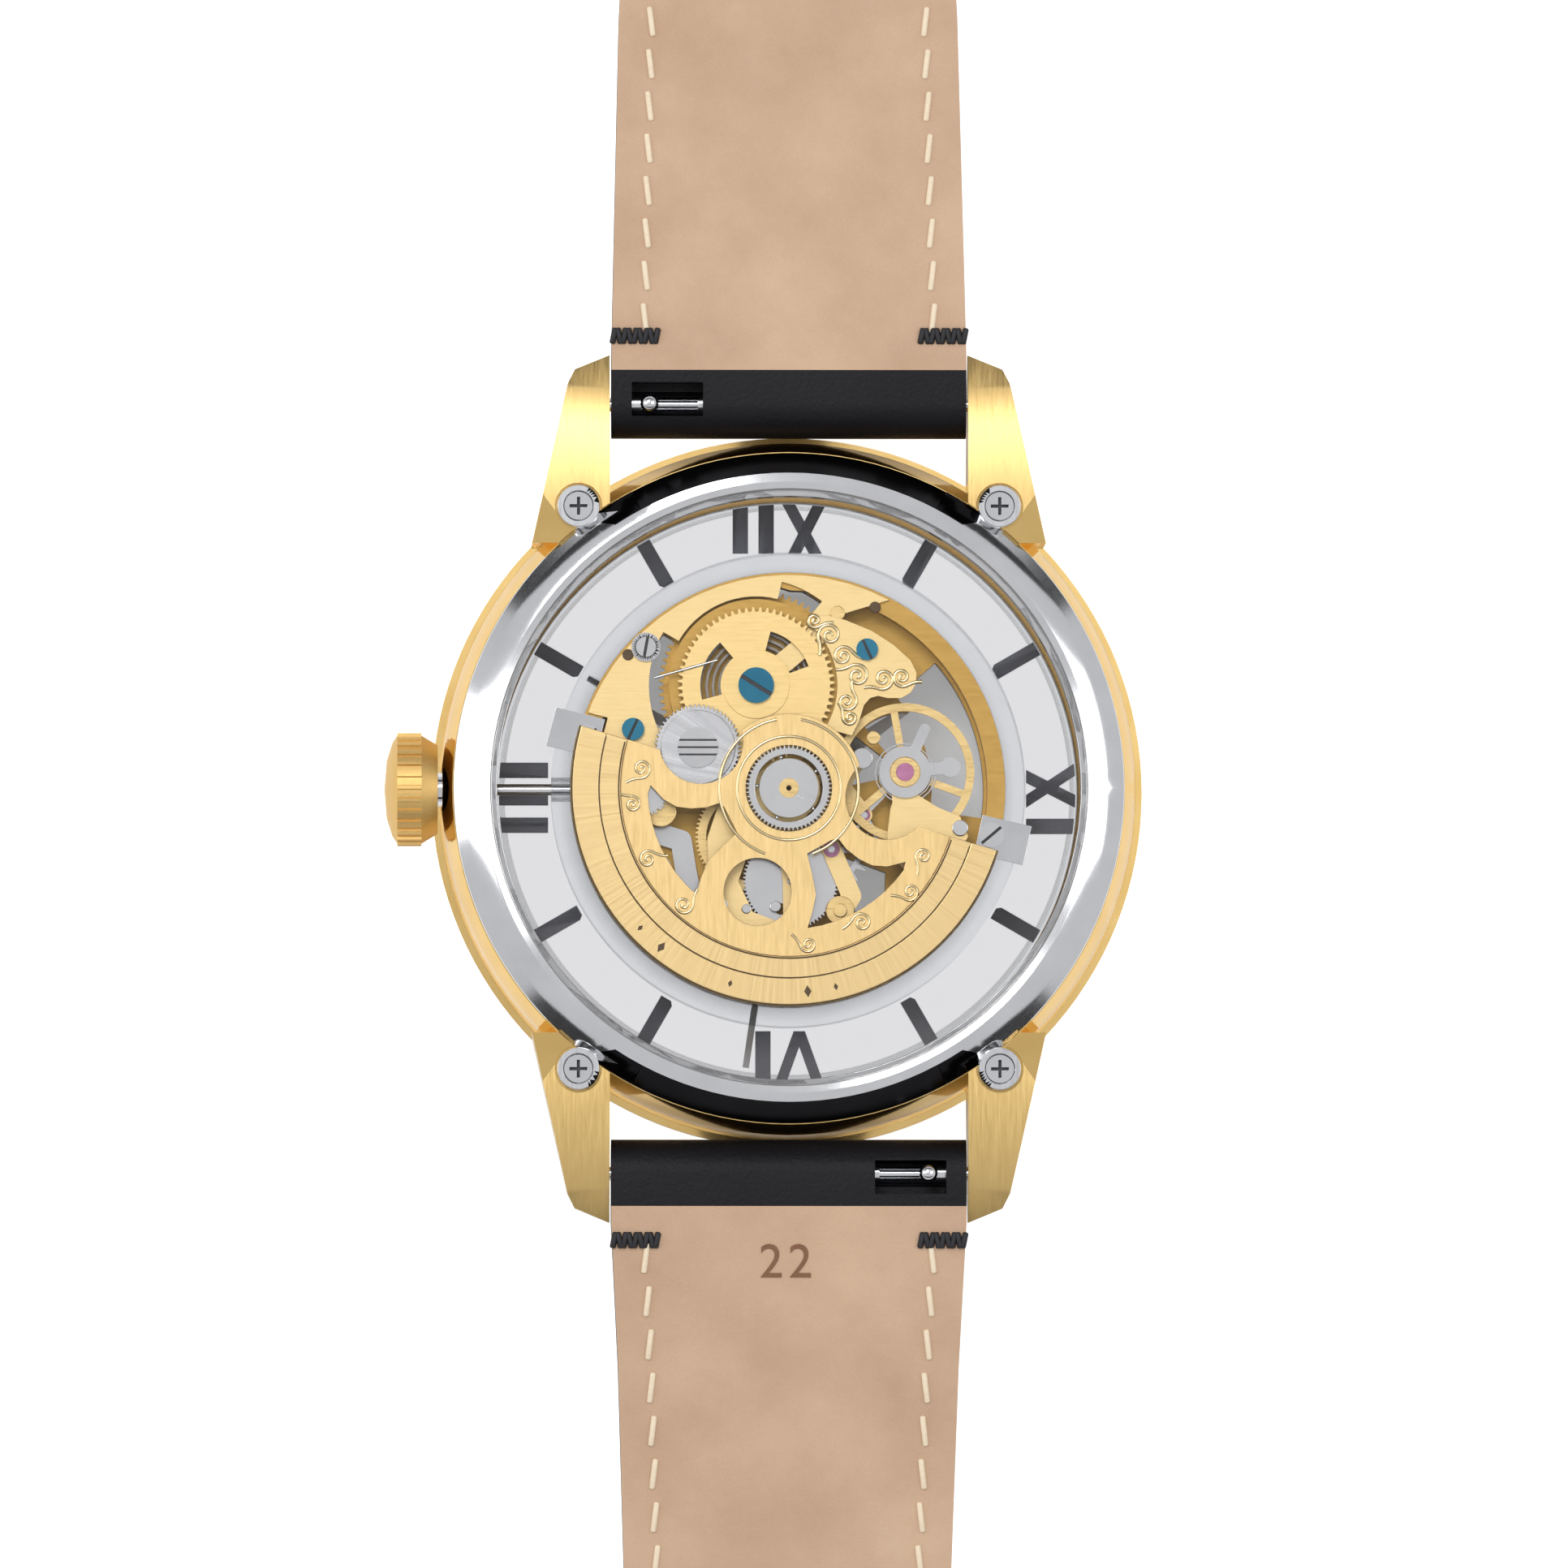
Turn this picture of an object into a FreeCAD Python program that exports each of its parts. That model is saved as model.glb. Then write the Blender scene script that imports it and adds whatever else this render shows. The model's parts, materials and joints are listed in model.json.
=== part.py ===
"""Automatic skeleton wristwatch on a leather strap, lying face down.

Millimetres. The origin is the centre of the flat outer face of the front crystal.
+Z runs out of the back of the case, +Y towards twelve o'clock, and -X is the crown side.
Every separate piece is written to its own STEP file.
"""
import FreeCAD, Part
import math
import os

V = FreeCAD.Vector
X_AXIS = V(1, 0, 0)
Z_AXIS = V(0, 0, 1)
ORIGIN = (0.0, 0.0)

# ---------------------------------------------------------------- driving dimensions
# Clearances
RUN_GAP = 0.03           # radial gap of a shaft that turns or slides in its hole
SEAT_GAP = 0.05          # gap round a part that sits still in its seat
MOVE_GAP = 0.15          # gap between parts that pass each other

# Case
CASE_BORE_R = 18.2       # bore that holds the movement, dial and flange ring
CASE_WALL = 3.3          # wall of the case middle round the bore
BEZEL_OVERHANG = 0.5     # bezel beyond the case middle
FRONT_GLASS_LAP = 0.4      # front glass past the case bore
FRONT_GLASS_T = 1.6
GASKET_W = 0.4
BEZEL_TOP = 3.4          # joint of the bezel and the case middle
CASE_MID_H = 6.6         # height of the case middle
BACK_RING_H = 1.6        # case-back ring above the case middle
BACK_GLASS_T = 1.5
BACK_LIP = 0.2           # how far the back ring's lip stands inside the bore
EAR_R = 1.3
EAR_T = 1.2
EAR_STAND = 0.18         # case-back screws outside the case middle's wall
EAR_FROM_LUG = 1.937     # case-back screws from the inner faces of the lugs
BACK_SCREW_R = 0.40

# Lugs and spring bars
LUG_GAP = 22.1           # clear width between the lugs
LUG_W_ROOT = 4.8
LUG_W_TIP = 2.15
LUG_TIP_REACH = 3.05     # lug tip beyond the spring bar
LUG_TOP = 0.8            # lug top above the case middle
BAR_CLEAR = 2.25         # spring-bar axis from the case middle's wall
BAR_Z = 8.5
BAR_R = 0.75
BAR_PIN_R = 0.42
BAR_PIN_REACH = 1.1      # how far a pin enters its lug

# Crown and stem
STEM_Z = 7.3
STEM_R = 0.35
STEM_END_X = -4.7
CROWN_R = 3.5
CROWN_L = 3.3
CROWN_FLUTES = 28
CROWN_PULL = 1.2
TUBE_R = 1.1
TUBE_STAND = 1.8         # crown tube outside the case wall

# Movement
MOVEMENT_R = 13.4
HOLDER_WALL = 1.2
PLATE_Z0 = 4.5
PLATE_T = 1.5
PLATE_RIM_W = 1.1
BRIDGE_Z0 = 8.16         # seat of the bridges
BRIDGE_T = 0.26
CLAMP_T = 0.34
CLAMP_ANGLES = (165.6, 347.2)
DIAL_Z0 = 4.0
DIAL_T = 0.4
MARKER_W = 0.9
MARKER_T = 0.3
MARKER_EDGE = 0.35        # markers stop this far inside the case bore

# Plan positions of the arbors (x, y)
BARREL = (-2.0, 6.4)
CROWN_WHEEL = (-5.6, 2.55)
THIRD = (-2.36, -2.91)
FOURTH_DEG = -48.0       # direction of the fourth arbor from the third
ESCAPE = (2.65, -3.7)
PALLET = (4.7, -1.55)
BALANCE = (7.2, 1.05)
BLUE_SCREWS = ((4.85, 8.62), (-9.6, 3.7))
BRIDGE_SCREWS = ((-0.8, -9.2), (-4.2, -7.2))
MINUTE_WHEEL = (1.7, -1.233)

# Tooth counts
BARREL_TEETH = 84
CENTRE_PINION_LEAVES = 12
CENTRE_TEETH = 80
THIRD_PINION_LEAVES = 10
THIRD_TEETH = 75
SECONDS_PINION_LEAVES = 10
FOURTH_TEETH = 72
ESCAPE_PINION_LEAVES = 8
ESCAPE_TEETH = 20
CANNON_LEAVES = 12
MINUTE_TEETH = 36
MINUTE_PINION_LEAVES = 10
HOUR_TEETH = 40
WINDING_PINION_TEETH = 16
CONTRATE_TEETH = 20
TRANSFER_TEETH = 36
CROWN_WHEEL_TEETH = 58
CROWN_PINION_LEAVES = 8
RATCHET_TEETH = 68

# Arbors
SECONDS_ARBOR_R = 0.12
CENTRE_ARBOR_R = 0.30
CANNON_R = 0.45
HOUR_TUBE_R = 0.65
ARBOR_R = 0.20
BARREL_ARBOR_R = 0.70

# Balance
BALANCE_R = 4.3
BALANCE_RIM_W = 0.5
BALANCE_Z0 = 7.6
BALANCE_T = 0.3
BALANCE_ARM_DEG = 100.0

# Rotor
ROTOR_R = 13.5
ROTOR_RIM_W = 3.1
ROTOR_RIM_Z0 = 9.2
ROTOR_RIM_T = 1.05
ROTOR_PLATE_Z0 = 9.5
ROTOR_PLATE_T = 0.35
ROTOR_TURN = -16.7       # the heavy half points this far past six o'clock
ROTOR_HUB_R = 4.6
BEARING_INNER_R = 1.82
BEARING_OUTER_R = 2.66
BALL_R = 0.12
BEARING_BALLS = 5

# Strap
STRAP_SIDE_GAP = 0.1     # strap to lug, each side
STRAP_LUG_T = 4.2
STRAP_END_T = 2.3
STRAP_END_W = 18.2
LINING_T = 0.9
LOOP_REACH = 2.05        # black loop over the spring bar, measured from the bar
TOP_STRAP_L = 75.0
LOWER_STRAP_L = 120.0
TOP_STRAP_Z = 4.75       # middle of the strap near the buckle
LOWER_STRAP_Z = 1.25     # middle of the strap near the tip
TIP_L = 8.0
HOLE_R = 0.95
HOLE_PITCH = 6.5
HOLE_COUNT = 7
KEEPER_WALL = 0.95
KEEPER_L = 4.5
KEEPER_SLIDE = 5.0
BUCKLE_BAR_R = 0.75
BUCKLE_L = 13.4
BUCKLE_RAIL = 1.9
BUCKLE_CROSS = 2.5
TONGUE_W = 1.8
TONGUE_T = 0.9

# ---------------------------------------------------------------- values that follow
CASE_R = CASE_BORE_R + CASE_WALL
BEZEL_R = CASE_R + BEZEL_OVERHANG
FRONT_GLASS_R = CASE_BORE_R + FRONT_GLASS_LAP
EAR_PCD_R = CASE_R + EAR_STAND
EAR_DEG = math.degrees(math.acos((LUG_GAP / 2 + EAR_FROM_LUG) / EAR_PCD_R))
BAR_Y = CASE_R + BAR_CLEAR
LUG_TIP_Y = BAR_Y + LUG_TIP_REACH
CASE_TOP = BEZEL_TOP + CASE_MID_H
BACK_SEAT_Z = CASE_TOP - 1.2             # floor of the recess for the case back
BACK_SEAT_R = CASE_BORE_R + 1.2
BACK_RING_R = CASE_R - 0.8
BACK_GLASS_R = CASE_BORE_R + 0.15
BACK_GLASS_Z0 = CASE_TOP + 0.5
BACK_TOP = BACK_GLASS_Z0 + BACK_GLASS_T
BACK_BORE_R = CASE_BORE_R - BACK_LIP
PLATE_TOP = PLATE_Z0 + PLATE_T
HOLDER_R = MOVEMENT_R + HOLDER_WALL + SEAT_GAP
LUG_INNER_X = LUG_GAP / 2
STRAP_LUG_W = LUG_GAP - 2 * STRAP_SIDE_GAP
CROWN_BACK_X = -(CASE_R + MOVE_GAP)
CROWN_FRONT_X = CROWN_BACK_X - CROWN_L
ROTOR_INNER_R = ROTOR_R - ROTOR_RIM_W


def distance(a, b):
    return math.hypot(a[0] - b[0], a[1] - b[1])


def polar(radius, degrees, about=ORIGIN):
    angle = math.radians(degrees)
    return (about[0] + radius * math.cos(angle), about[1] + radius * math.sin(angle))


def bearing(a, b):
    """Direction of b seen from a, in degrees."""
    return math.degrees(math.atan2(b[1] - a[1], b[0] - a[0]))


def pitch_radius(spread, teeth, other_teeth):
    """Pitch radius of a wheel whose arbor stands this far from its partner's."""
    return spread * teeth / (teeth + other_teeth)


FOURTH = polar(distance(THIRD, ORIGIN), FOURTH_DEG, THIRD)
CENTRE_PINION_R = pitch_radius(distance(BARREL, ORIGIN), CENTRE_PINION_LEAVES, BARREL_TEETH)
BARREL_PITCH_R = distance(BARREL, ORIGIN) - CENTRE_PINION_R
CENTRE_WHEEL_R = pitch_radius(distance(THIRD, ORIGIN), CENTRE_TEETH, THIRD_PINION_LEAVES)
THIRD_PINION_R = distance(THIRD, ORIGIN) - CENTRE_WHEEL_R
THIRD_WHEEL_R = pitch_radius(distance(THIRD, ORIGIN), THIRD_TEETH, SECONDS_PINION_LEAVES)
SECONDS_PINION_R = distance(THIRD, ORIGIN) - THIRD_WHEEL_R
FOURTH_WHEEL_R = pitch_radius(distance(FOURTH, ESCAPE), FOURTH_TEETH, ESCAPE_PINION_LEAVES)
ESCAPE_PINION_R = distance(FOURTH, ESCAPE) - FOURTH_WHEEL_R
CANNON_PITCH_R = pitch_radius(distance(MINUTE_WHEEL, ORIGIN), CANNON_LEAVES, MINUTE_TEETH)
MINUTE_WHEEL_R = distance(MINUTE_WHEEL, ORIGIN) - CANNON_PITCH_R
MINUTE_PINION_R = pitch_radius(distance(MINUTE_WHEEL, ORIGIN), MINUTE_PINION_LEAVES, HOUR_TEETH)
HOUR_WHEEL_R = distance(MINUTE_WHEEL, ORIGIN) - MINUTE_PINION_R
CROWN_PINION_R = pitch_radius(distance(CROWN_WHEEL, BARREL), CROWN_PINION_LEAVES, RATCHET_TEETH)
RATCHET_R = distance(CROWN_WHEEL, BARREL) - CROWN_PINION_R
TRANSFER_MODULE = 0.09
TRANSFER_R = TRANSFER_MODULE * TRANSFER_TEETH / 2
CROWN_WHEEL_R = TRANSFER_MODULE * CROWN_WHEEL_TEETH / 2
# The transfer wheel stands on the stem line, in mesh with the crown wheel.
TRANSFER = (CROWN_WHEEL[0] - math.sqrt((TRANSFER_R + CROWN_WHEEL_R) ** 2 - CROWN_WHEEL[1] ** 2), 0.0)
WINDING_PINION_R = 1.15
CONTRATE_R = WINDING_PINION_R * CONTRATE_TEETH / WINDING_PINION_TEETH


# ---------------------------------------------------------------- shape helpers
def at(point, z=0.0):
    return V(point[0], point[1], z)


def circle_wire(radius, about=ORIGIN, z=0.0):
    return Part.Wire(Part.makeCircle(radius, at(about, z)))


def polygon_wire(points, z=0.0):
    corners = [at(point, z) for point in points]
    return Part.makePolygon(corners + corners[:1])


def slab(outer, holes, z0, z1):
    """Flat solid with this outline and these holes."""
    face = Part.makeFace([outer] + list(holes), "Part::FaceMakerBullseye")
    solid = face.extrude(V(0, 0, z1 - z0))
    solid.translate(V(0, 0, z0))
    return solid


def disc(radius, z0, z1, about=ORIGIN):
    return Part.makeCylinder(radius, z1 - z0, at(about, z0))


def ring(outer_r, inner_r, z0, z1, about=ORIGIN):
    return slab(circle_wire(outer_r, about), [circle_wire(inner_r, about)], z0, z1)


def box(x, y, z):
    """Box between two limits on each axis."""
    return Part.makeBox(x[1] - x[0], y[1] - y[0], z[1] - z[0], V(x[0], y[0], z[0]))


def prism(points, z0, z1):
    return slab(polygon_wire(points), [], z0, z1)


def side_prism(points, x0, x1):
    """Solid along X from a closed outline in the YZ plane."""
    corners = [V(x0, y, z) for y, z in points]
    face = Part.Face(Part.makePolygon(corners + corners[:1]))
    return face.extrude(V(x1 - x0, 0, 0))


def turned(profile, about=ORIGIN):
    """Solid turned about a vertical axis from an outline of (radius, z)."""
    corners = [V(about[0] + r, about[1], z) for r, z in profile]
    face = Part.Face(Part.makePolygon(corners + corners[:1]))
    return face.revolve(at(about), Z_AXIS, 360)


def turned_on_stem(profile):
    """Solid turned about the stem's axis from an outline of (x, radius)."""
    corners = [V(x, 0, STEM_Z + r) for x, r in profile]
    face = Part.Face(Part.makePolygon(corners + corners[:1]))
    return face.revolve(V(0, 0, STEM_Z), X_AXIS, 360)


def rod_x(radius, x0, x1, y, z):
    return Part.makeCylinder(radius, x1 - x0, V(x0, y, z), X_AXIS)


def strip(points, width, z0, z1):
    """Flat strip of one width along a plan path, with round ends and corners."""
    solids = [disc(width / 2, z0, z1, point) for point in points]
    for a, b in zip(points, points[1:]):
        heading = math.radians(bearing(a, b))
        dx = -math.sin(heading) * width / 2
        dy = math.cos(heading) * width / 2
        solids.append(prism([(a[0] + dx, a[1] + dy), (b[0] + dx, b[1] + dy),
                             (b[0] - dx, b[1] - dy), (a[0] - dx, a[1] - dy)], z0, z1))
    return joined(solids)


def joined(solids):
    result = solids[0].fuse(solids[1:]) if len(solids) > 1 else solids[0]
    return result.removeSplitter()


def arc_points(radius, start, end, about=ORIGIN, step=6.0):
    count = max(2, int(abs(end - start) / step) + 1)
    return [polar(radius, start + (end - start) * i / count, about) for i in range(count + 1)]


def sector_wire(inner_r, outer_r, start, end, about=ORIGIN, spoke_w=0.0):
    """Window between two arcs, narrowed by half a spoke along each side."""
    def angles(radius):
        trim = math.degrees(math.asin(spoke_w / 2 / radius))
        return start + trim, end - trim
    a0, a1 = angles(inner_r)
    b0, b1 = angles(outer_r)
    inner = Part.Arc(at(polar(inner_r, a0, about)), at(polar(inner_r, (a0 + a1) / 2, about)),
                     at(polar(inner_r, a1, about))).toShape()
    outer = Part.Arc(at(polar(outer_r, b1, about)), at(polar(outer_r, (b0 + b1) / 2, about)),
                     at(polar(outer_r, b0, about))).toShape()
    side_1 = Part.makeLine(at(polar(inner_r, a1, about)), at(polar(outer_r, b1, about)))
    side_0 = Part.makeLine(at(polar(outer_r, b0, about)), at(polar(inner_r, a0, about)))
    return Part.Wire([inner, side_1, outer, side_0])


def spoke_windows(count, inner_r, outer_r, spoke_w, about, phase=0.0):
    turn = 360.0 / count
    return [sector_wire(inner_r, outer_r, phase + i * turn, phase + (i + 1) * turn, about, spoke_w)
            for i in range(count)]


def gear_outline(teeth, pitch_r, about=ORIGIN, phase=0.0):
    """Straight-sided teeth; one tooth is centred on the phase angle."""
    module = 2 * pitch_r / teeth
    tip_r = pitch_r + 0.85 * module
    root_r = pitch_r - 1.1 * module
    pitch = 360.0 / teeth
    points = []
    for i in range(teeth):
        middle = phase + i * pitch
        points += [polar(root_r, middle - 0.29 * pitch, about), polar(tip_r, middle - 0.11 * pitch, about),
                   polar(tip_r, middle + 0.11 * pitch, about), polar(root_r, middle + 0.29 * pitch, about)]
    return polygon_wire(points)


def gear(teeth, pitch_r, z0, z1, about=ORIGIN, phase=0.0, holes=()):
    return slab(gear_outline(teeth, pitch_r, about, phase), holes, z0, z1)


def mesh_phase(teeth, about, other_teeth, other, other_phase):
    """Phase that puts a gap of this wheel on the line where a partner's tooth may stand."""
    to_partner = bearing(about, other)
    from_partner = to_partner + 180.0
    offset = other_phase - from_partner
    turned_by = -offset * other_teeth / teeth
    return to_partner + turned_by + 180.0 / teeth


def slotted_screw(about, head_r, z0, head_t, shank_r, tip_z, slot_deg, slot_w=0.18):
    """Cheese-head screw: head from z0 up, shank down to tip_z, one slot."""
    body = joined([disc(head_r, z0, z0 + head_t, about), disc(shank_r, tip_z, z0, about)])
    slot = box((-head_r * 1.2, head_r * 1.2), (-slot_w / 2, slot_w / 2), (0, head_t))
    slot.rotate(V(0, 0, 0), Z_AXIS, slot_deg)
    slot.translate(at(about, z0 + head_t * 0.55))
    return body.cut(slot)


# ---------------------------------------------------------------- case
def lug(side_x, side_y):
    """One lug: a tapering arm that falls away to its tip, with a bevelled end."""
    outer_root = LUG_INNER_X + LUG_W_ROOT
    outer_tip = LUG_INNER_X + LUG_W_TIP
    root_y = LUG_TIP_Y - 11.7
    plan = [(LUG_INNER_X, root_y), (outer_root, root_y), (outer_tip + 0.45, LUG_TIP_Y - 1.8),
            (outer_tip, LUG_TIP_Y - 0.9), (LUG_INNER_X, LUG_TIP_Y)]
    top = CASE_TOP + LUG_TOP
    side = [(root_y, BEZEL_TOP + 0.4), (root_y + 3.0, BEZEL_TOP + 0.5), (root_y + 7.0, BEZEL_TOP + 1.7),
            (root_y + 10.2, BEZEL_TOP + 3.4), (LUG_TIP_Y, BEZEL_TOP + 4.7), (LUG_TIP_Y, CASE_TOP - 1.0),
            (LUG_TIP_Y - 2.1, CASE_TOP), (root_y + 7.0, top - 0.1), (root_y + 3.0, top), (root_y, top)]
    solid = prism(plan, 0, BACK_TOP).common(side_prism(side, 0, 3 * LUG_INNER_X))
    if side_x < 0:
        solid = solid.mirror(V(0, 0, 0), X_AXIS)
    if side_y < 0:
        solid = solid.mirror(V(0, 0, 0), V(0, 1, 0))
    return solid


def ear_centres():
    return [polar(EAR_PCD_R, angle) for angle in
            (EAR_DEG, 180 - EAR_DEG, 180 + EAR_DEG, 360 - EAR_DEG)]


def mid_case():
    outline = [(CASE_BORE_R, BEZEL_TOP), (CASE_R, BEZEL_TOP), (CASE_R + 0.1, BEZEL_TOP + 0.9),
               (CASE_R - 0.15, CASE_TOP - 1.2), (CASE_R - 0.75, CASE_TOP), (BACK_SEAT_R, CASE_TOP),
               (BACK_SEAT_R, BACK_SEAT_Z), (CASE_BORE_R, BACK_SEAT_Z)]
    solid = turned(outline)
    solid = solid.fuse([lug(x, y) for x in (-1, 1) for y in (-1, 1)])
    solid = solid.cut(disc(CASE_BORE_R, 0, BACK_TOP)).cut(disc(BACK_SEAT_R, BACK_SEAT_Z, BACK_TOP))
    solid = solid.cut(disc(BACK_RING_R + SEAT_GAP, CASE_TOP, BACK_TOP))
    pockets = [disc(EAR_R + MOVE_GAP, CASE_TOP, BACK_TOP, centre) for centre in ear_centres()]
    screw_holes = [disc(BACK_SCREW_R, CASE_TOP - 2.4, CASE_TOP, centre) for centre in ear_centres()]
    pin_holes = [rod_x(BAR_PIN_R + RUN_GAP, side * LUG_INNER_X - BAR_PIN_REACH - 0.3,
                       side * LUG_INNER_X + BAR_PIN_REACH + 0.3, y, BAR_Z)
                 for side in (-1, 1) for y in (-BAR_Y, BAR_Y)]
    tube_hole = rod_x(TUBE_R, -2 * CASE_R, 0, 0, STEM_Z)
    return solid.cut(pockets + screw_holes + pin_holes + [tube_hole])


def bezel():
    seat_r = FRONT_GLASS_R + GASKET_W
    return turned([(seat_r, 0.3), (seat_r + 0.6, 0.25), (BEZEL_R - 0.7, 1.2), (BEZEL_R, 2.0),
                   (BEZEL_R, BEZEL_TOP - 0.4), (BEZEL_R - 0.4, BEZEL_TOP), (CASE_BORE_R - 0.2, BEZEL_TOP),
                   (CASE_BORE_R - 0.2, FRONT_GLASS_T), (seat_r, FRONT_GLASS_T)])


def front_crystal():
    return turned([(0, 0), (FRONT_GLASS_R - 0.5, 0), (FRONT_GLASS_R, 0.4), (FRONT_GLASS_R, FRONT_GLASS_T),
                   (0, FRONT_GLASS_T)])


def crystal_gasket():
    return ring(FRONT_GLASS_R + GASKET_W, FRONT_GLASS_R, 0.5, FRONT_GLASS_T)


def case_back_ring():
    """Ring with a spigot, a glass seat, four ears and lowered bands at twelve and six."""
    seat_r = BACK_GLASS_R + SEAT_GAP
    outline = [(BACK_BORE_R, CASE_TOP - 0.8), (BACK_SEAT_R - SEAT_GAP, CASE_TOP - 0.8),
               (BACK_SEAT_R - SEAT_GAP, CASE_TOP), (BACK_RING_R, CASE_TOP), (BACK_RING_R, CASE_TOP + 0.55),
               (seat_r + 1.0, CASE_TOP + 1.45), (seat_r + 0.45, CASE_TOP + BACK_RING_H),
               (seat_r, CASE_TOP + BACK_RING_H - 0.15), (seat_r, BACK_GLASS_Z0), (BACK_BORE_R, BACK_GLASS_Z0)]
    solid = turned(outline).fuse([disc(EAR_R, CASE_TOP, CASE_TOP + EAR_T, c) for c in ear_centres()])
    band = turned([(seat_r + 1.0, CASE_TOP + 1.45), (seat_r + 1.0, CASE_TOP + 2.5), (CASE_R + 0.5, CASE_TOP + 2.5),
                   (CASE_R + 0.5, CASE_TOP), (BACK_RING_R, CASE_TOP + 0.15)])
    reach = 2 * CASE_R
    half = 28.0
    for middle in (90, 270):
        wedge = prism([(0, 0), polar(reach, middle - half), polar(reach, middle), polar(reach, middle + half)],
                      CASE_TOP, BACK_TOP + 1)
        solid = solid.cut(band.common(wedge))
    solid = solid.cut(disc(seat_r, BACK_GLASS_Z0, BACK_TOP))
    recesses = [disc(0.92, CASE_TOP + EAR_T - 0.4, BACK_TOP, c) for c in ear_centres()]
    holes = [disc(BACK_SCREW_R + RUN_GAP, CASE_TOP, BACK_TOP, c) for c in ear_centres()]
    return solid.cut(recesses + holes)


def case_back_crystal():
    return turned([(0, BACK_GLASS_Z0), (BACK_GLASS_R, BACK_GLASS_Z0), (BACK_GLASS_R, BACK_TOP - 0.45),
                   (BACK_GLASS_R - 0.5, BACK_TOP), (0, BACK_TOP)])


def case_back_gasket():
    return ring(BACK_SEAT_R - 0.1, CASE_BORE_R + 0.15, BACK_SEAT_Z, CASE_TOP - 0.8)


def case_back_screws():
    """Four cross-head screws through the ears."""
    head_z = CASE_TOP + EAR_T - 0.4
    screws = []
    for centre in ear_centres():
        body = joined([disc(0.87, head_z, head_z + 0.35, centre),
                       disc(BACK_SCREW_R, CASE_TOP - 2.2, head_z, centre)])
        cross = [box((-0.55, 0.55), (-0.1, 0.1), (0, 1)), box((-0.1, 0.1), (-0.55, 0.55), (0, 1))]
        for arm in cross:
            arm.translate(at(centre, head_z + 0.12))
        screws.append(body.cut(cross))
    return Part.makeCompound(screws)


def crown_tube():
    return turned_on_stem([(-(CASE_R + TUBE_STAND), STEM_R + 0.1), (-(CASE_R + TUBE_STAND), TUBE_R),
                           (-(CASE_BORE_R + 0.1), TUBE_R), (-(CASE_BORE_R + 0.1), STEM_R + 0.1)])


def crown():
    """Fluted crown with a domed end, hollow where it runs over its tube."""
    knurl_back = CROWN_BACK_X - 1.0
    knurl_front = CROWN_FRONT_X + 0.8
    dome = turned_on_stem([(CROWN_BACK_X, 0), (CROWN_BACK_X, CROWN_R - 0.75), (knurl_back, CROWN_R - 0.15),
                           (knurl_front, CROWN_R - 0.15), (knurl_front - 0.3, CROWN_R - 0.6),
                           (CROWN_FRONT_X + 0.15, CROWN_R - 1.7), (CROWN_FRONT_X, 0)])
    flutes = gear_outline(CROWN_FLUTES, CROWN_R - 0.15)
    band = slab(flutes, [], 0, knurl_back - knurl_front)
    band = band.common(disc(CROWN_R, 0, CROWN_L))
    band.rotate(V(0, 0, 0), V(0, 1, 0), -90)
    band.translate(V(knurl_back, 0, STEM_Z))
    solid = dome.fuse(band)
    pocket = rod_x(TUBE_R + 0.5, CROWN_BACK_X - TUBE_STAND - 0.4, CROWN_BACK_X + 1, 0, STEM_Z)
    socket = rod_x(STEM_R, CROWN_FRONT_X + 0.6, CROWN_BACK_X + 1, 0, STEM_Z)
    return solid.cut([pocket, socket]).removeSplitter()


def crown_seal():
    x = CROWN_BACK_X - 1.2
    return turned_on_stem([(x, TUBE_R + RUN_GAP), (x, TUBE_R + 0.5 - RUN_GAP), (x + 0.5, TUBE_R + 0.5 - RUN_GAP),
                           (x + 0.5, TUBE_R + RUN_GAP)])


def winding_stem():
    return rod_x(STEM_R, CROWN_FRONT_X + 0.6, STEM_END_X, 0, STEM_Z)


def winding_pinion():
    """Pinion and clutch wheel that ride on the stem."""
    middle = TRANSFER[0] + CONTRATE_R
    pinion = gear(WINDING_PINION_TEETH, WINDING_PINION_R, -0.35, 0.35, ORIGIN, 0,
                  [circle_wire(STEM_R + RUN_GAP)])
    clutch = gear(14, 0.85, 0.35, 1.6, ORIGIN, 0, [circle_wire(STEM_R + RUN_GAP)])
    solid = joined([pinion, clutch])
    solid.rotate(V(0, 0, 0), V(0, 1, 0), 90)
    solid.translate(V(middle, 0, STEM_Z))
    return solid


# ---------------------------------------------------------------- dial side
def radial_bar(angle, inner_r, outer_r, width):
    """Hour marker with one inner corner taken off."""
    bar = polygon_wire([(inner_r, -width / 2), (outer_r, -width / 2), (outer_r, width / 2),
                        (inner_r + 0.25, width / 2), (inner_r, width / 2 - 0.2)])
    solid = slab(bar, [], DIAL_Z0 - MARKER_T, DIAL_Z0)
    solid.rotate(V(0, 0, 0), Z_AXIS, angle)
    return solid


def stroke(outer_u, inner_u, width, span):
    """Numeral stroke between two radii; u runs clockwise as seen from the back."""
    inner_r, outer_r = span
    return [(outer_r, -outer_u - width / 2), (outer_r, -outer_u + width / 2),
            (inner_r, -inner_u + width / 2), (inner_r, -inner_u - width / 2)]


def numeral(angle, strokes):
    solids = [prism(points, DIAL_Z0 - MARKER_T, DIAL_Z0) for points in strokes]
    solid = joined(solids).common(disc(CASE_BORE_R - MARKER_EDGE, 0, DIAL_Z0))
    solid.rotate(V(0, 0, 0), Z_AXIS, angle)
    return solid


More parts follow.
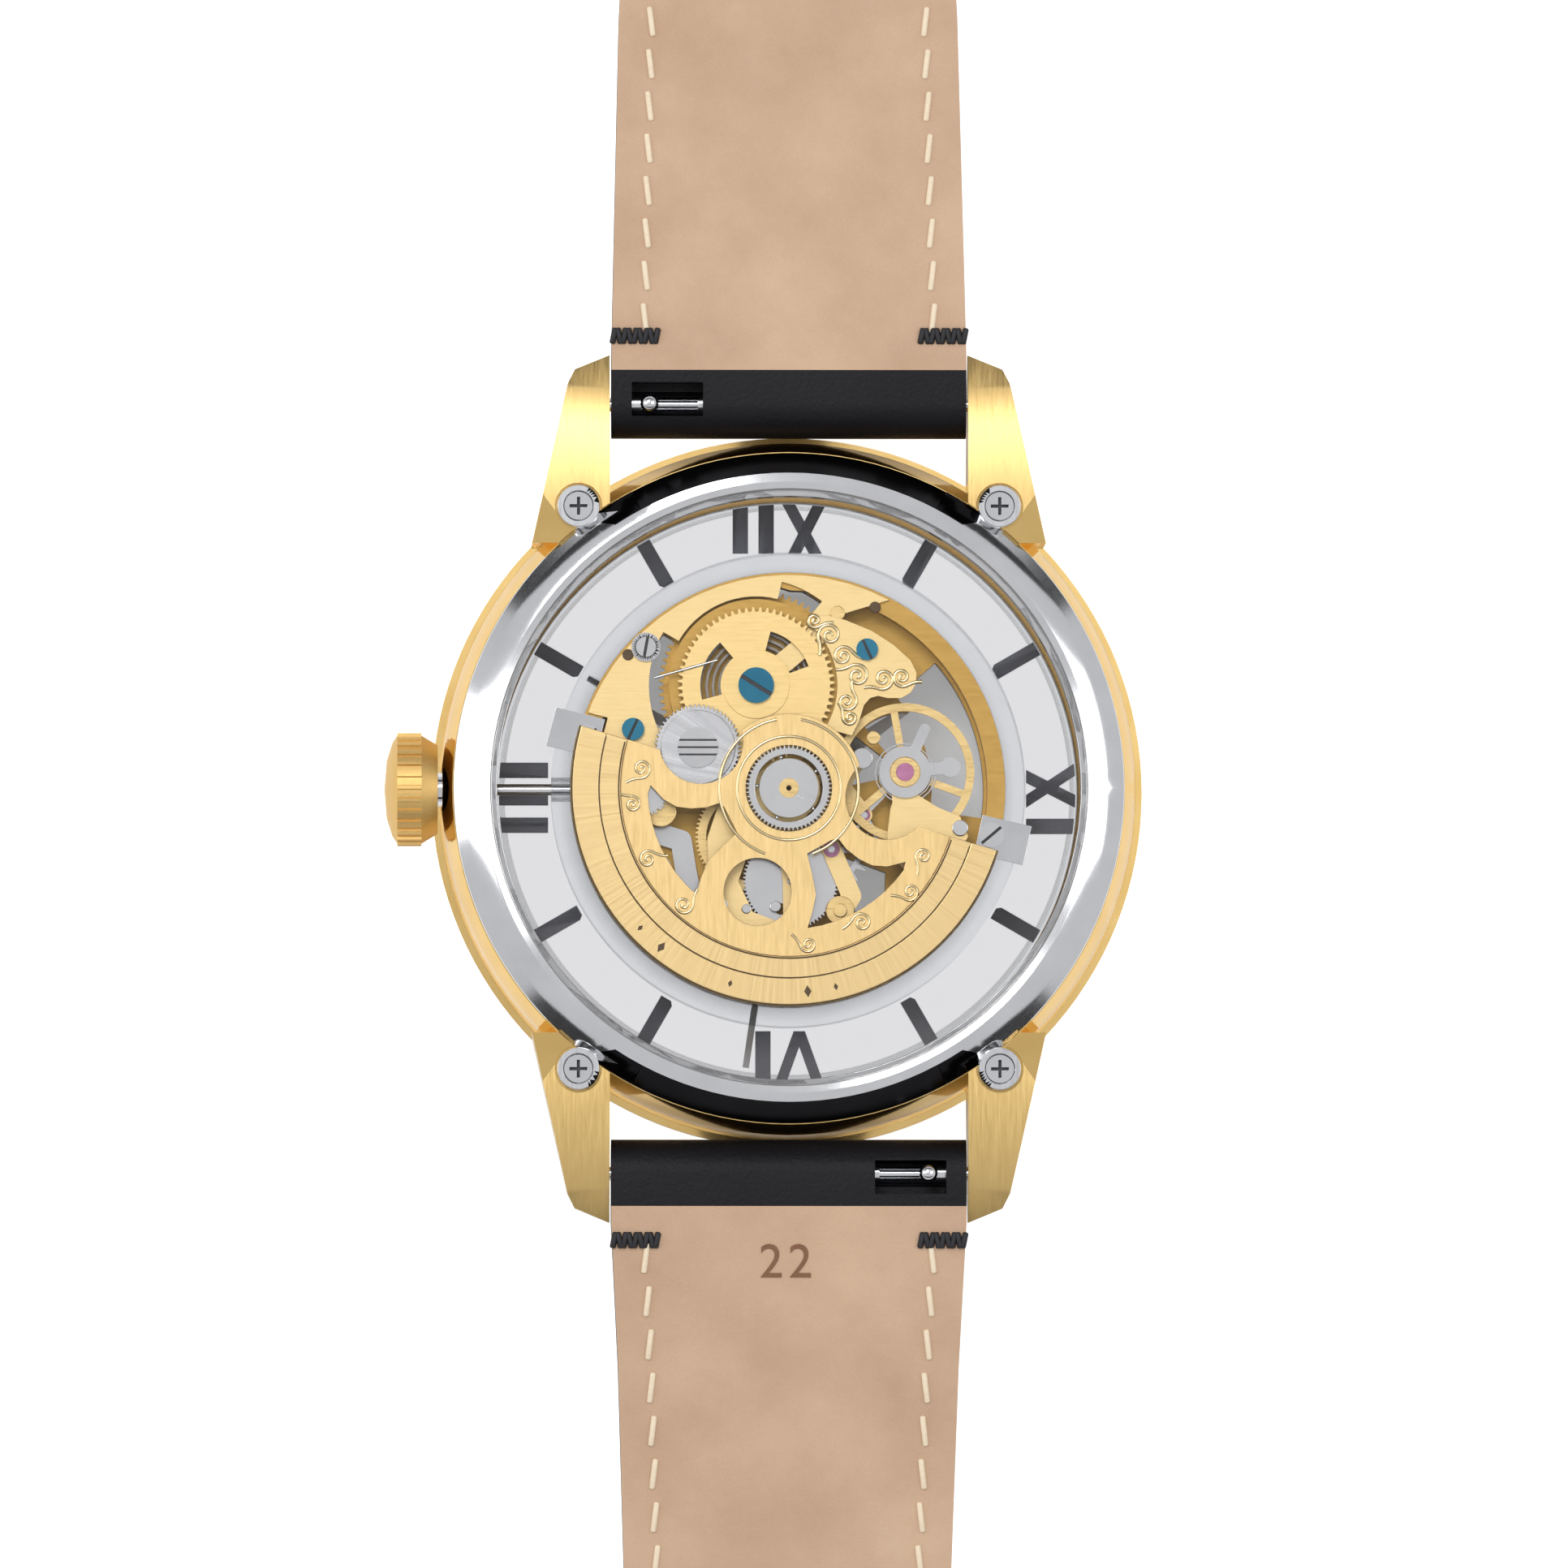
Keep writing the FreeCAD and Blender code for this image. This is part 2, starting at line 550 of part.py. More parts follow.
def hour_markers():
    """Bars at eight hours and Roman numerals at the quarters."""
    inner_r = HOLDER_R + 0.15
    outer_r = CASE_BORE_R - MARKER_EDGE
    span = (inner_r, outer_r)
    shapes = [radial_bar(30 * i, inner_r, outer_r, MARKER_W) for i in range(12) if i % 3]
    one = 0.95
    cross = [stroke(-0.1 + 0.2, 1.75, 0.8, span), stroke(2.0, 0.45, 0.8, span)]
    shapes.append(numeral(90, [stroke(-2.9, -2.9, one, span)]))
    shapes.append(numeral(90, [stroke(-1.3, -1.3, one, span)]))
    shapes.append(numeral(90, cross))
    for u in (-2.05, -0.35, 1.35):
        shapes.append(numeral(180, [stroke(u, u, one, span)]))
    shapes.append(numeral(270, [stroke(1.5, 1.5, one, span)]))
    shapes.append(numeral(270, [stroke(0.35, -0.75, 0.7, span), stroke(-1.85, -0.75, 0.7, span)]))
    shapes.append(numeral(0, [stroke(2.1, 2.1, one, span)]))
    shapes.append(numeral(0, [stroke(-1.45, 0.55, 0.8, span), stroke(0.55, -1.0, 0.8, span)]))
    return Part.makeCompound(shapes)


def dial():
    """Clear chapter ring that carries the hour markers."""
    return ring(CASE_BORE_R - SEAT_GAP, MOVEMENT_R - 0.5, DIAL_Z0, DIAL_Z0 + DIAL_T)


def flange_ring():
    """Sloping ring that spaces the dial from the front crystal; its inner edge clears the markers."""
    outer_r = CASE_BORE_R - 0.25
    marker_r = CASE_BORE_R - MARKER_EDGE + 0.03
    top = DIAL_Z0 - MARKER_T - 0.04
    return turned([(outer_r - 0.45, top), (outer_r - 0.1, FRONT_GLASS_T + 0.05), (outer_r, FRONT_GLASS_T + 0.05),
                   (outer_r, DIAL_Z0 - 0.02), (marker_r, DIAL_Z0 - 0.02), (marker_r, top)])


def hand(angle, hub_r, bore_r, widths, length, tail, z0, thickness):
    """Tapering hand with a round hub; widths are at the hub and at the tip."""
    at_hub, at_tip = widths
    blade = [(-tail, -at_hub / 2), (length, -at_tip / 2), (length, at_tip / 2), (-tail, at_hub / 2)]
    solid = joined([disc(hub_r, z0, z0 + thickness), prism(blade, z0, z0 + thickness)])
    solid = solid.cut(disc(bore_r, z0 - 1, z0 + 1))
    solid.rotate(V(0, 0, 0), Z_AXIS, angle)
    return solid


def seconds_hand():
    return hand(-98.5, 0.5, SECONDS_ARBOR_R, (0.45, 0.4), CASE_BORE_R - 1.0, 4.5, 2.2, 0.15)


def minute_hand():
    return hand(150, 0.9, CANNON_R, (1.2, 0.35), HOLDER_R - 0.4, 0.0, 2.65, 0.15)


def hour_hand():
    return hand(35, 1.1, HOUR_TUBE_R, (1.5, 0.5), 9.3, 0.0, 3.1, 0.15)


def seconds_pinion():
    """Fourth-speed pinion at the centre on its long arbor."""
    leaves = gear(SECONDS_PINION_LEAVES, SECONDS_PINION_R, 7.2, 7.6)
    return joined([leaves, disc(SECONDS_ARBOR_R, 2.2, 7.95)])


def centre_wheel():
    """Centre wheel, its pinion and the hollow arbor between them."""
    bore = SECONDS_ARBOR_R + RUN_GAP
    phase = mesh_phase(CENTRE_TEETH, ORIGIN, THIRD_PINION_LEAVES, THIRD, 0)
    wheel = gear(CENTRE_TEETH, CENTRE_WHEEL_R, 6.1, 6.3, ORIGIN, phase,
                 spoke_windows(4, 0.9, CENTRE_WHEEL_R - 0.6, 0.5, ORIGIN, 20))
    pinion = gear(CENTRE_PINION_LEAVES, CENTRE_PINION_R, 6.3, 6.95, ORIGIN, 0)
    tube = disc(CENTRE_ARBOR_R, 2.95, 7.05)
    return joined([wheel, pinion, tube]).cut(disc(bore, 0, BACK_TOP))


def cannon_pinion():
    leaves = gear(CANNON_LEAVES, CANNON_PITCH_R, 4.1, 4.4)
    return joined([leaves, disc(CANNON_R, 2.65, 4.4)]).cut(disc(CENTRE_ARBOR_R + 0.02, 0, BACK_TOP))


def minute_wheel():
    phase = mesh_phase(MINUTE_TEETH, MINUTE_WHEEL, CANNON_LEAVES, ORIGIN, 0)
    wheel = gear(MINUTE_TEETH, MINUTE_WHEEL_R, 4.1, 4.35, MINUTE_WHEEL, phase)
    pinion = gear(MINUTE_PINION_LEAVES, MINUTE_PINION_R, 3.7, 4.1, MINUTE_WHEEL, 0)
    return joined([wheel, pinion]).cut(disc(ARBOR_R + RUN_GAP, 0, PLATE_Z0, MINUTE_WHEEL))


def hour_wheel():
    phase = mesh_phase(HOUR_TEETH, ORIGIN, MINUTE_PINION_LEAVES, MINUTE_WHEEL, 0)
    wheel = gear(HOUR_TEETH, HOUR_WHEEL_R, 3.75, 4.0, ORIGIN, phase)
    return joined([wheel, disc(HOUR_TUBE_R, 3.1, 4.0)]).cut(disc(CANNON_R + RUN_GAP, 0, BACK_TOP))


# ---------------------------------------------------------------- movement frame
def plate_windows():
    """Skeleton windows of the front plate, as outlines."""
    teeth_r = BARREL_PITCH_R + 0.75
    corner = [(3.5, -4.1), (3.13, -5.05), (3.42, -6.1), (4.09, -7.06), (4.23, -7.82), (6.0, -6.68), (6.05, -5.05)]
    return [sector_wire(8.9, MOVEMENT_R - PLATE_RIM_W - 0.2, -8, 41), polygon_wire(corner),
            sector_wire(BARREL_PITCH_R - 1.1, teeth_r, 150, 204, BARREL),
            sector_wire(BARREL_PITCH_R - 1.1, teeth_r, 52, 76, BARREL),
            sector_wire(1.6, 3.8, 60, 130, BALANCE), sector_wire(1.6, 3.8, 142, 192, BALANCE)]


def main_plate():
    """Front plate with skeleton windows, a raised rim and a block that guides the stem."""
    rim = ring(MOVEMENT_R, MOVEMENT_R - PLATE_RIM_W, PLATE_TOP, BRIDGE_Z0)
    rim = rim.cut([disc(BARREL_PITCH_R + 0.4, PLATE_TOP, BACK_TOP, BARREL),
                   box((-MOVEMENT_R, 0), (-1.3, 1.3), (PLATE_TOP, 9))])
    block = box((-MOVEMENT_R + 0.4, -MOVEMENT_R + 2.4), (-1.3, 1.3), (PLATE_TOP, STEM_Z + 0.75))
    minute_post = disc(ARBOR_R, 3.75, PLATE_Z0, MINUTE_WHEEL)
    solid = joined([disc(MOVEMENT_R, PLATE_Z0, PLATE_TOP), rim, block, minute_post])
    cuts = [slab(wire, [], PLATE_Z0, PLATE_TOP) for wire in plate_windows()]
    cuts.append(disc(CENTRE_ARBOR_R + RUN_GAP, PLATE_Z0, PLATE_TOP))
    cuts.append(rod_x(STEM_R + RUN_GAP, -2 * MOVEMENT_R, 0, 0, STEM_Z))
    cuts.append(box((TRANSFER[0] + CONTRATE_R - 0.6, -4.6), (-1.4, 1.4), (PLATE_TOP - 0.3, PLATE_TOP + 2)))
    cuts += [disc(ARBOR_R + RUN_GAP, PLATE_TOP - 0.6, PLATE_TOP, p)
             for p in (THIRD, FOURTH, ESCAPE, PALLET, BALANCE)]
    cuts.append(disc(BARREL_ARBOR_R + RUN_GAP, PLATE_TOP - 0.6, PLATE_TOP, BARREL))
    cuts += [disc(0.35, PLATE_TOP + 1, BRIDGE_Z0, clamp_spot(angle)) for angle in CLAMP_ANGLES]
    return solid.cut(cuts)


def movement_holder():
    """Clear ring between the movement and the case, slotted for the stem."""
    z0 = DIAL_Z0 + DIAL_T
    body = ring(HOLDER_R, MOVEMENT_R + SEAT_GAP, z0, BRIDGE_Z0)
    return body.cut(rod_x(STEM_R + 0.4, -2 * CASE_R, 0, 0, STEM_Z))


def clamp_spot(angle):
    return polar(MOVEMENT_R - 0.55, angle)


def clamp_body(angle, grow=0.0):
    """Steel dog that reaches from the plate's rim over the holder ring."""
    body = box((MOVEMENT_R - 1.35 - grow, HOLDER_R + 0.5), (-1.35 - grow, 1.1 + grow), (BRIDGE_Z0, BRIDGE_Z0 + CLAMP_T))
    body.rotate(V(0, 0, 0), Z_AXIS, angle)
    return body


def movement_clamps():
    """Two steel dogs that hold the movement down in its holder ring."""
    return Part.makeCompound([clamp_body(angle).cut(disc(0.35 + SEAT_GAP, 7, 9, clamp_spot(angle)))
                              for angle in CLAMP_ANGLES])


def clamp_screws():
    return [slotted_screw(clamp_spot(angle), 0.78, BRIDGE_Z0 + CLAMP_T, 0.35, 0.35, PLATE_TOP + 1.1, 40)
            for angle in CLAMP_ANGLES]


def barrel_bridge():
    """Outer bridge at the upper left, with an arm that carries the barrel arbor."""
    z0 = BRIDGE_Z0
    z1 = z0 + BRIDGE_T
    teeth_r = BARREL_PITCH_R + 0.75
    outer = arc_points(MOVEMENT_R - 0.15, 62, 203)
    inner = arc_points(BARREL_PITCH_R - 0.35, 214, 46, BARREL)
    plate = prism(outer + [(-9.9, -4.0), (-7.4, -0.9), (-7.2, 1.9)] + inner, z0, z1)
    gaps = [slab(sector_wire(BARREL_PITCH_R - 0.5, teeth_r, 150, 204, BARREL), [], z0, z1),
            slab(sector_wire(BARREL_PITCH_R - 0.5, teeth_r, 52, 76, BARREL), [], z0, z1),
            disc(CONTRATE_R + 0.5, z0, z1, TRANSFER), clamp_body(CLAMP_ANGLES[0], MOVE_GAP)]
    arm = joined([disc(1.9, z0, z1, BARREL), strip([BARREL, CROWN_WHEEL], 1.7, z0, z1),
                  strip([CROWN_WHEEL, (-7.9, 2.6)], 1.6, z0, z1),
                  strip([BARREL, polar(BARREL_PITCH_R - 0.2, 40, BARREL)], 1.3, z0, z1)])
    post = disc(0.9, PLATE_TOP, z0, BLUE_SCREWS[1])
    solid = joined([plate.cut(gaps), arm, post])
    return solid.cut([disc(BARREL_ARBOR_R + RUN_GAP, 0, BACK_TOP, BARREL),
                      disc(0.25, 0, BACK_TOP, CROWN_WHEEL), disc(0.3, z0, BACK_TOP, BLUE_SCREWS[1])])


def scroll_bridge():
    """Leaf-shaped bridge right of the barrel; its face carries embossed scrolls."""
    points = [(1.70, 10.68), (2.56, 10.68), (3.51, 10.44), (5.14, 9.77), (6.48, 8.91), (7.53, 7.95),
              (7.91, 7.18), (7.87, 6.51), (7.53, 5.94), (6.96, 5.61), (6.10, 5.61), (5.52, 5.75), (5.04, 5.61),
              (4.66, 5.18), (4.37, 4.22), (3.9, 3.3)]
    left = arc_points(RATCHET_R + 0.3, -32, 44, BARREL)
    solid = prism(points + left, 8.5, 8.85)
    foot = disc(0.8, 8.42, 8.5, BLUE_SCREWS[0])
    post = disc(0.7, PLATE_TOP, 8.42, (5.9, 7.3))
    hole = disc(0.3, 8, 9, BLUE_SCREWS[0])
    return joined([solid, foot, disc(0.7, 8.42, 8.5, (5.9, 7.3)), post]).cut(hole)


def train_bridge():
    """Bridge over the train; its centre post carries the rotor bearing."""
    z0 = 8.16
    z1 = 8.5
    body = prism([(-1.6, 1.2), (-4.3, -0.9), (-5.0, -3.0), (-4.9, -6.0), (-4.0, -8.6), (-1.9, -9.8),
                  (0.9, -9.9), (1.3, -8.9), (-2.2, -7.6), (-3.1, -5.7), (-2.4, -3.7), (-0.9, -3.0),
                  (0.2, -2.9), (1.6, -1.0)], z0, z1)
    hub = disc(1.95, z0, z1)
    fourth_arm = strip([(-0.2, -2.6), FOURTH, (0.2, -9.2)], 1.0, z0, z1)
    post = disc(1.3, z1, ROTOR_RIM_Z0)
    feet = [disc(0.7, PLATE_TOP, z0, BRIDGE_SCREWS[1]), disc(0.5, PLATE_TOP, z0, (0.0, -9.45))]
    solid = joined([body, hub, fourth_arm, post] + feet)
    holes = [disc(ARBOR_R + RUN_GAP, z0, z1, p) for p in (THIRD, FOURTH)]
    holes += [disc(0.3, z0, z1 + 1, p) for p in BRIDGE_SCREWS]
    holes.append(disc(SECONDS_ARBOR_R + RUN_GAP, z0, ROTOR_RIM_Z0))
    return solid.cut(holes)


def escape_bridge():
    """Small cocks that carry the tops of the escape wheel and the pallet fork."""
    escape = strip([ESCAPE, (3.9, -6.6), (3.3, -7.6)], 1.2, 8.16, 8.4)
    escape = escape.fuse(disc(0.6, PLATE_TOP, 8.16, (3.3, -7.6)))
    pallet = strip([PALLET, (3.3, 0.3), (4.4, 1.9)], 1.0, 7.25, 7.5)
    pallet = pallet.fuse(disc(0.5, PLATE_TOP, 7.25, (4.4, 1.9)))
    holes = [disc(ARBOR_R + RUN_GAP, 0, BACK_TOP, p) for p in (ESCAPE, PALLET)]
    return Part.makeCompound([escape.cut(holes), pallet.cut(holes)])


def balance_cock():
    """Cock that reaches from the lower right over the balance staff."""
    z0 = 8.16
    z1 = 8.5
    foot_plan = [(6.3, -4.2), (6.1, -2.9), (6.3, -1.2), (6.6, -0.3), (7.9, -0.3), (9.2, -1.1), (10.6, -1.7),
                 (11.1, -2.9), (10.2, -4.6), (8.4, -6.0)]
    arm = joined([prism(foot_plan, z0, z1), disc(1.05, z0, z1, BALANCE), strip([(7.2, -0.6), BALANCE], 1.6, z0, z1)])
    foot = prism([(8.6, -4.0), (9.9, -3.3), (9.9, -4.5), (8.4, -5.6)], PLATE_TOP, z0)
    hole = disc(ARBOR_R + RUN_GAP, 0, BACK_TOP, BALANCE)
    return joined([arm, foot]).cut(hole)


def regulator():
    """Index ring round the balance jewel with its two arms."""
    z0 = 8.5
    z1 = 8.72
    rim = disc(1.6, z0, z1, BALANCE)
    index = strip([BALANCE, (8.44, 3.74)], 0.62, z0, z1)
    stud_arm = strip([BALANCE, (10.0, 1.35)], 0.75, z0, z1)
    boss = disc(0.62, z0, z1, (10.0, 1.35))
    return joined([rim, index, stud_arm, boss]).cut(disc(0.95, z0, z1, BALANCE))


def jewel_setting():
    """Gold shock spring and setting round the balance jewel."""
    return ring(0.9, 0.56, 8.5, 8.75, BALANCE)


def jewels():
    """Ruby bearings of the balance, pallet fork and escape wheel."""
    stones = [disc(0.55, 8.5, 8.8, BALANCE), ring(0.38, ARBOR_R + RUN_GAP, 7.5, 7.56, PALLET),
              ring(0.5, ARBOR_R + RUN_GAP, 8.4, 8.52, ESCAPE)]
    return Part.makeCompound(stones)


def blued_screws():
    return Part.makeCompound([slotted_screw(BLUE_SCREWS[0], 0.67, 8.85, 0.3, 0.3, 8.42, 115),
                              slotted_screw(BLUE_SCREWS[1], 0.69, 8.42, 0.35, 0.3, 8.16, 65)])


def steel_screws():
    """Steel screws, studs and the wire spring of the movement."""
    small = [slotted_screw(BRIDGE_SCREWS[0], 0.45, 8.5, 0.25, 0.3, BRIDGE_Z0, 20),
             slotted_screw(BRIDGE_SCREWS[1], 0.45, 8.5, 0.25, 0.3, BRIDGE_Z0, 70)]
    return Part.makeCompound(small + clamp_screws() + [eccentric_screw(), wire_spring(), crown_wheel_screw(),
                                                       transfer_stud()])


def eccentric_screw():
    """Banking eccentric on its raised base at the upper left."""
    base = disc(0.9, 8.42, 8.6, (-8.8, 8.77))
    return joined([base, slotted_screw((-8.8, 8.77), 0.62, 8.6, 0.25, 0.3, 8.42, 80)])


def wire_spring():
    """Straight steel wire across the barrel."""
    start = V(-8.3, 6.85, 8.53 + 0.32)
    end = V(-4.4, 7.95, 8.53 + 0.32)
    return Part.makeCylinder(0.07, (end - start).Length, start, end - start)


def setting_lever():
    """Setting lever and yoke beside the stem."""
    z0 = PLATE_TOP + 0.05
    lever = strip([(-7.9, -2.7), (-6.6, -3.1), (-6.3, -5.0), (-6.0, -6.4)], 1.3, z0, z0 + 0.45)
    yoke = strip([(-8.6, -3.4), (-7.6, -4.6), (-7.1, -6.3)], 0.7, z0, z0 + 0.4)
    return Part.makeCompound([lever, yoke.cut(strip([(-7.9, -2.7), (-6.6, -3.1), (-6.3, -5.0), (-6.0, -6.4)],
                                                    1.36, z0 - 1, z0 + 1))])


# ---------------------------------------------------------------- going train
def barrel():
    """Toothed drum, open above for the mainspring and closed by a narrow lid rim."""
    phase = mesh_phase(BARREL_TEETH, BARREL, CENTRE_PINION_LEAVES, ORIGIN, 0)
    bore = BARREL_ARBOR_R + RUN_GAP
    floor = gear(BARREL_TEETH, BARREL_PITCH_R, 6.5, 6.9, BARREL, phase, [circle_wire(bore, BARREL)])
    drum_r = BARREL_PITCH_R - 0.5
    wall = ring(drum_r, drum_r - 0.35, 6.9, 8.1, BARREL)
    lid = ring(drum_r - 0.35, drum_r - 1.2, 7.95, 8.1, BARREL)
    return joined([floor, wall, lid])


def mainspring():
    """Flat spiral, hooked to the wall of the barrel."""
    inner_r = BARREL_ARBOR_R + 0.5
    outer_r = BARREL_PITCH_R - 0.5 - 0.35 - 0.26
    turns = 9
    steps = 24 * turns
    growth = (outer_r - inner_r) / steps
    inner = [polar(inner_r + growth * i, 15.0 * i, BARREL) for i in range(steps + 1)]
    outer = [polar(inner_r + growth * i + 0.16, 15.0 * i, BARREL) for i in range(steps + 1)]
    return prism(inner + outer[::-1], 6.95, 7.9)


def barrel_arbor():
    square = box((BARREL[0] - 0.5, BARREL[0] + 0.5), (BARREL[1] - 0.5, BARREL[1] + 0.5), (8.42, 8.74))
    return joined([disc(BARREL_ARBOR_R, PLATE_TOP - 0.5, 8.46, BARREL), square.common(disc(0.7, 8, 9, BARREL))])


def ratchet_wheel():
    """Spoked click wheel on the square of the barrel arbor."""
    square = polygon_wire([(BARREL[0] + x, BARREL[1] + y) for x, y in
                           ((-0.5, -0.5), (0.5, -0.5), (0.5, 0.5), (-0.5, 0.5))])
    windows = [sector_wire(2.2, 3.45, 20, 75, BARREL), sector_wire(2.2, 3.45, 130, 195, BARREL)]
    return gear(RATCHET_TEETH, RATCHET_R, 8.5, 8.74, BARREL, ratchet_phase(), [square] + windows)


def ratchet_phase():
    return mesh_phase(RATCHET_TEETH, BARREL, CROWN_PINION_LEAVES, CROWN_WHEEL, 0)


def ratchet_screw():
    """Gold hub washer and its large slotted screw."""
    washer = disc(2.05, 8.74, 8.86, BARREL)
    return Part.makeCompound([washer, slotted_screw(BARREL, 1.1, 8.86, 0.3, 0.3, 8.86 - 0.01, -32, 0.25)])


def crown_wheel():
    """Steel wheel with a raised face and a hidden pinion that drives the ratchet wheel."""
    bore = 0.25 + RUN_GAP
    phase = mesh_phase(CROWN_WHEEL_TEETH, CROWN_WHEEL, TRANSFER_TEETH, TRANSFER, 0)
    pinion = gear(CROWN_PINION_LEAVES, CROWN_PINION_R, 8.46, 8.8, CROWN_WHEEL, 0)
    wheel = gear(CROWN_WHEEL_TEETH, CROWN_WHEEL_R, 8.8, 9.02, CROWN_WHEEL, phase)
    face = disc(CROWN_WHEEL_R - 0.32, 9.02, 9.12, CROWN_WHEEL)
    return joined([pinion, wheel, face]).cut(disc(bore, 0, BACK_TOP, CROWN_WHEEL))


def crown_wheel_screw():
    """Three-slot screw whose shank is the crown wheel's stud."""
    screw = joined([disc(1.25, 9.14, 9.3, CROWN_WHEEL), disc(0.25, 8.16, 9.14, CROWN_WHEEL)])
    slots = [box((CROWN_WHEEL[0] - 1.3, CROWN_WHEEL[0] + 1.3), (CROWN_WHEEL[1] + y - 0.06, CROWN_WHEEL[1] + y + 0.06),
                 (9.24, 9.5)) for y in (-0.45, 0.0, 0.45)]
    return screw.cut(slots)


def transfer_wheel():
    """Contrate and spur wheel between the winding pinion and the crown wheel."""
    spur = gear(TRANSFER_TEETH, TRANSFER_R, 8.72, 8.98, TRANSFER, 0)
    crown_r = CONTRATE_R + 0.1
    teeth = gear(CONTRATE_TEETH, crown_r, 8.43, 8.72, TRANSFER, 180.0 / CONTRATE_TEETH)
    root_r = crown_r * (1 - 2.2 / CONTRATE_TEETH)
    teeth = teeth.cut(disc(root_r, 8.43, 8.6, TRANSFER))
    return joined([spur, teeth]).cut(disc(0.3 + RUN_GAP, 0, BACK_TOP, TRANSFER))


def transfer_stud():
    """Stud of the transfer wheel, standing on the stem block of the plate."""
    top = BRIDGE_Z0 - 0.02
    foot = box((-MOVEMENT_R + 0.5, TRANSFER[0] - 0.9), (-0.9, 0.9), (STEM_Z + 0.75, top))
    arm = box((TRANSFER[0] - 1.0, TRANSFER[0] + 0.4), (-0.5, 0.5), (STEM_Z + 0.75, top))
    return joined([foot, arm, disc(0.3, STEM_Z + 0.75, 9.0, TRANSFER)])


def arbor_with(z0, z1, about, parts):
    return joined([disc(ARBOR_R, z0, z1, about)] + parts)


def third_wheel():
    pinion_phase = 0.0
    wheel_phase = mesh_phase(THIRD_TEETH, THIRD, SECONDS_PINION_LEAVES, ORIGIN, 0)
    wheel = gear(THIRD_TEETH, THIRD_WHEEL_R, 7.3, 7.5, THIRD, wheel_phase,
                 spoke_windows(4, 0.7, THIRD_WHEEL_R - 0.6, 0.5, THIRD, 10))
    pinion = gear(THIRD_PINION_LEAVES, THIRD_PINION_R, 6.08, 6.32, THIRD, pinion_phase)
    return arbor_with(PLATE_TOP - 0.5, 8.4, THIRD, [wheel, pinion])


def fourth_wheel():
    """Silver wheel that drives the escape pinion."""
    third_phase = mesh_phase(THIRD_TEETH, THIRD, SECONDS_PINION_LEAVES, ORIGIN, 0)
    pinion_phase = mesh_phase(SECONDS_PINION_LEAVES, FOURTH, THIRD_TEETH, THIRD, third_phase)
    pinion = gear(SECONDS_PINION_LEAVES, pitch_radius(distance(THIRD, FOURTH), SECONDS_PINION_LEAVES, THIRD_TEETH),
                  7.2, 7.6, FOURTH, pinion_phase)
    wheel = gear(FOURTH_TEETH, FOURTH_WHEEL_R, 7.8, 8.0, FOURTH, 0,
                 [circle_wire(0.36, polar(1.8, 250, FOURTH))])
    return arbor_with(PLATE_TOP - 0.5, 8.4, FOURTH, [wheel, pinion])


def escape_wheel():
    """Lever escape wheel with raked teeth."""
    tip_r = 2.5
    root_r = 1.95
    pitch = 360.0 / ESCAPE_TEETH
    outline = []
    for i in range(ESCAPE_TEETH):
        outline += [polar(root_r, i * pitch, ESCAPE), polar(tip_r, i * pitch + 4.0, ESCAPE),
                    polar(tip_r, i * pitch + 6.0, ESCAPE), polar(root_r, i * pitch + 9.0, ESCAPE)]
    wheel = slab(polygon_wire(outline), spoke_windows(4, 0.6, 1.6, 0.35, ESCAPE), 6.9, 7.1)
    phase = mesh_phase(ESCAPE_PINION_LEAVES, ESCAPE, FOURTH_TEETH, FOURTH, 0)
    pinion = gear(ESCAPE_PINION_LEAVES, ESCAPE_PINION_R, 7.7, 8.1, ESCAPE, phase)
    return arbor_with(PLATE_TOP - 0.5, 8.45, ESCAPE, [wheel, pinion])


def pallet_fork():
    """Lever with two stones clear of the escape wheel and a forked tail."""
    to_escape = bearing(PALLET, ESCAPE)
    to_balance = bearing(PALLET, BALANCE)
    reach = distance(PALLET, ESCAPE) - 2.5
    arms = strip([polar(1.5, to_escape - 75, PALLET), PALLET, polar(1.5, to_escape + 75, PALLET)],
                 0.35, 6.9, 7.1)
    nose = disc(min(0.35, reach - 0.1), 6.9, 7.1, PALLET)
    tail = strip([PALLET, polar(2.6, to_balance, PALLET)], 0.3, 6.9, 7.1)
    return arbor_with(PLATE_TOP - 0.5, 7.55, PALLET, [arms, nose, tail])


# ---------------------------------------------------------------- balance
def balance_wheel():
    """Rim with three arms, staff and roller."""
    rim = ring(BALANCE_R, BALANCE_R - BALANCE_RIM_W, BALANCE_Z0, BALANCE_Z0 + BALANCE_T, BALANCE)
    arms = [strip([BALANCE, polar(BALANCE_R - BALANCE_RIM_W / 2, BALANCE_ARM_DEG + i * 120, BALANCE)],
                  0.45, BALANCE_Z0, BALANCE_Z0 + BALANCE_T) for i in range(3)]
    hub = disc(0.75, BALANCE_Z0, BALANCE_Z0 + BALANCE_T, BALANCE)
    roller = disc(0.6, 7.2, 7.35, BALANCE)
    staff = disc(ARBOR_R, PLATE_TOP - 0.5, 8.45, BALANCE)
    return joined([rim, hub, roller, staff] + arms)


def hairspring():
    """Flat spiral between the staff and the stud, drawn as a thin ribbon."""
    inner_r = 0.45
    outer_r = 1.9
    turns = 7
    steps = 18 * turns
    growth = (outer_r - inner_r) / steps
    inner = [polar(inner_r + growth * i, 20.0 * i, BALANCE) for i in range(steps + 1)]
    outer = [polar(inner_r + growth * i + 0.07, 20.0 * i, BALANCE) for i in range(steps + 1)]
    return prism(inner + outer[::-1], 7.98, 8.1)


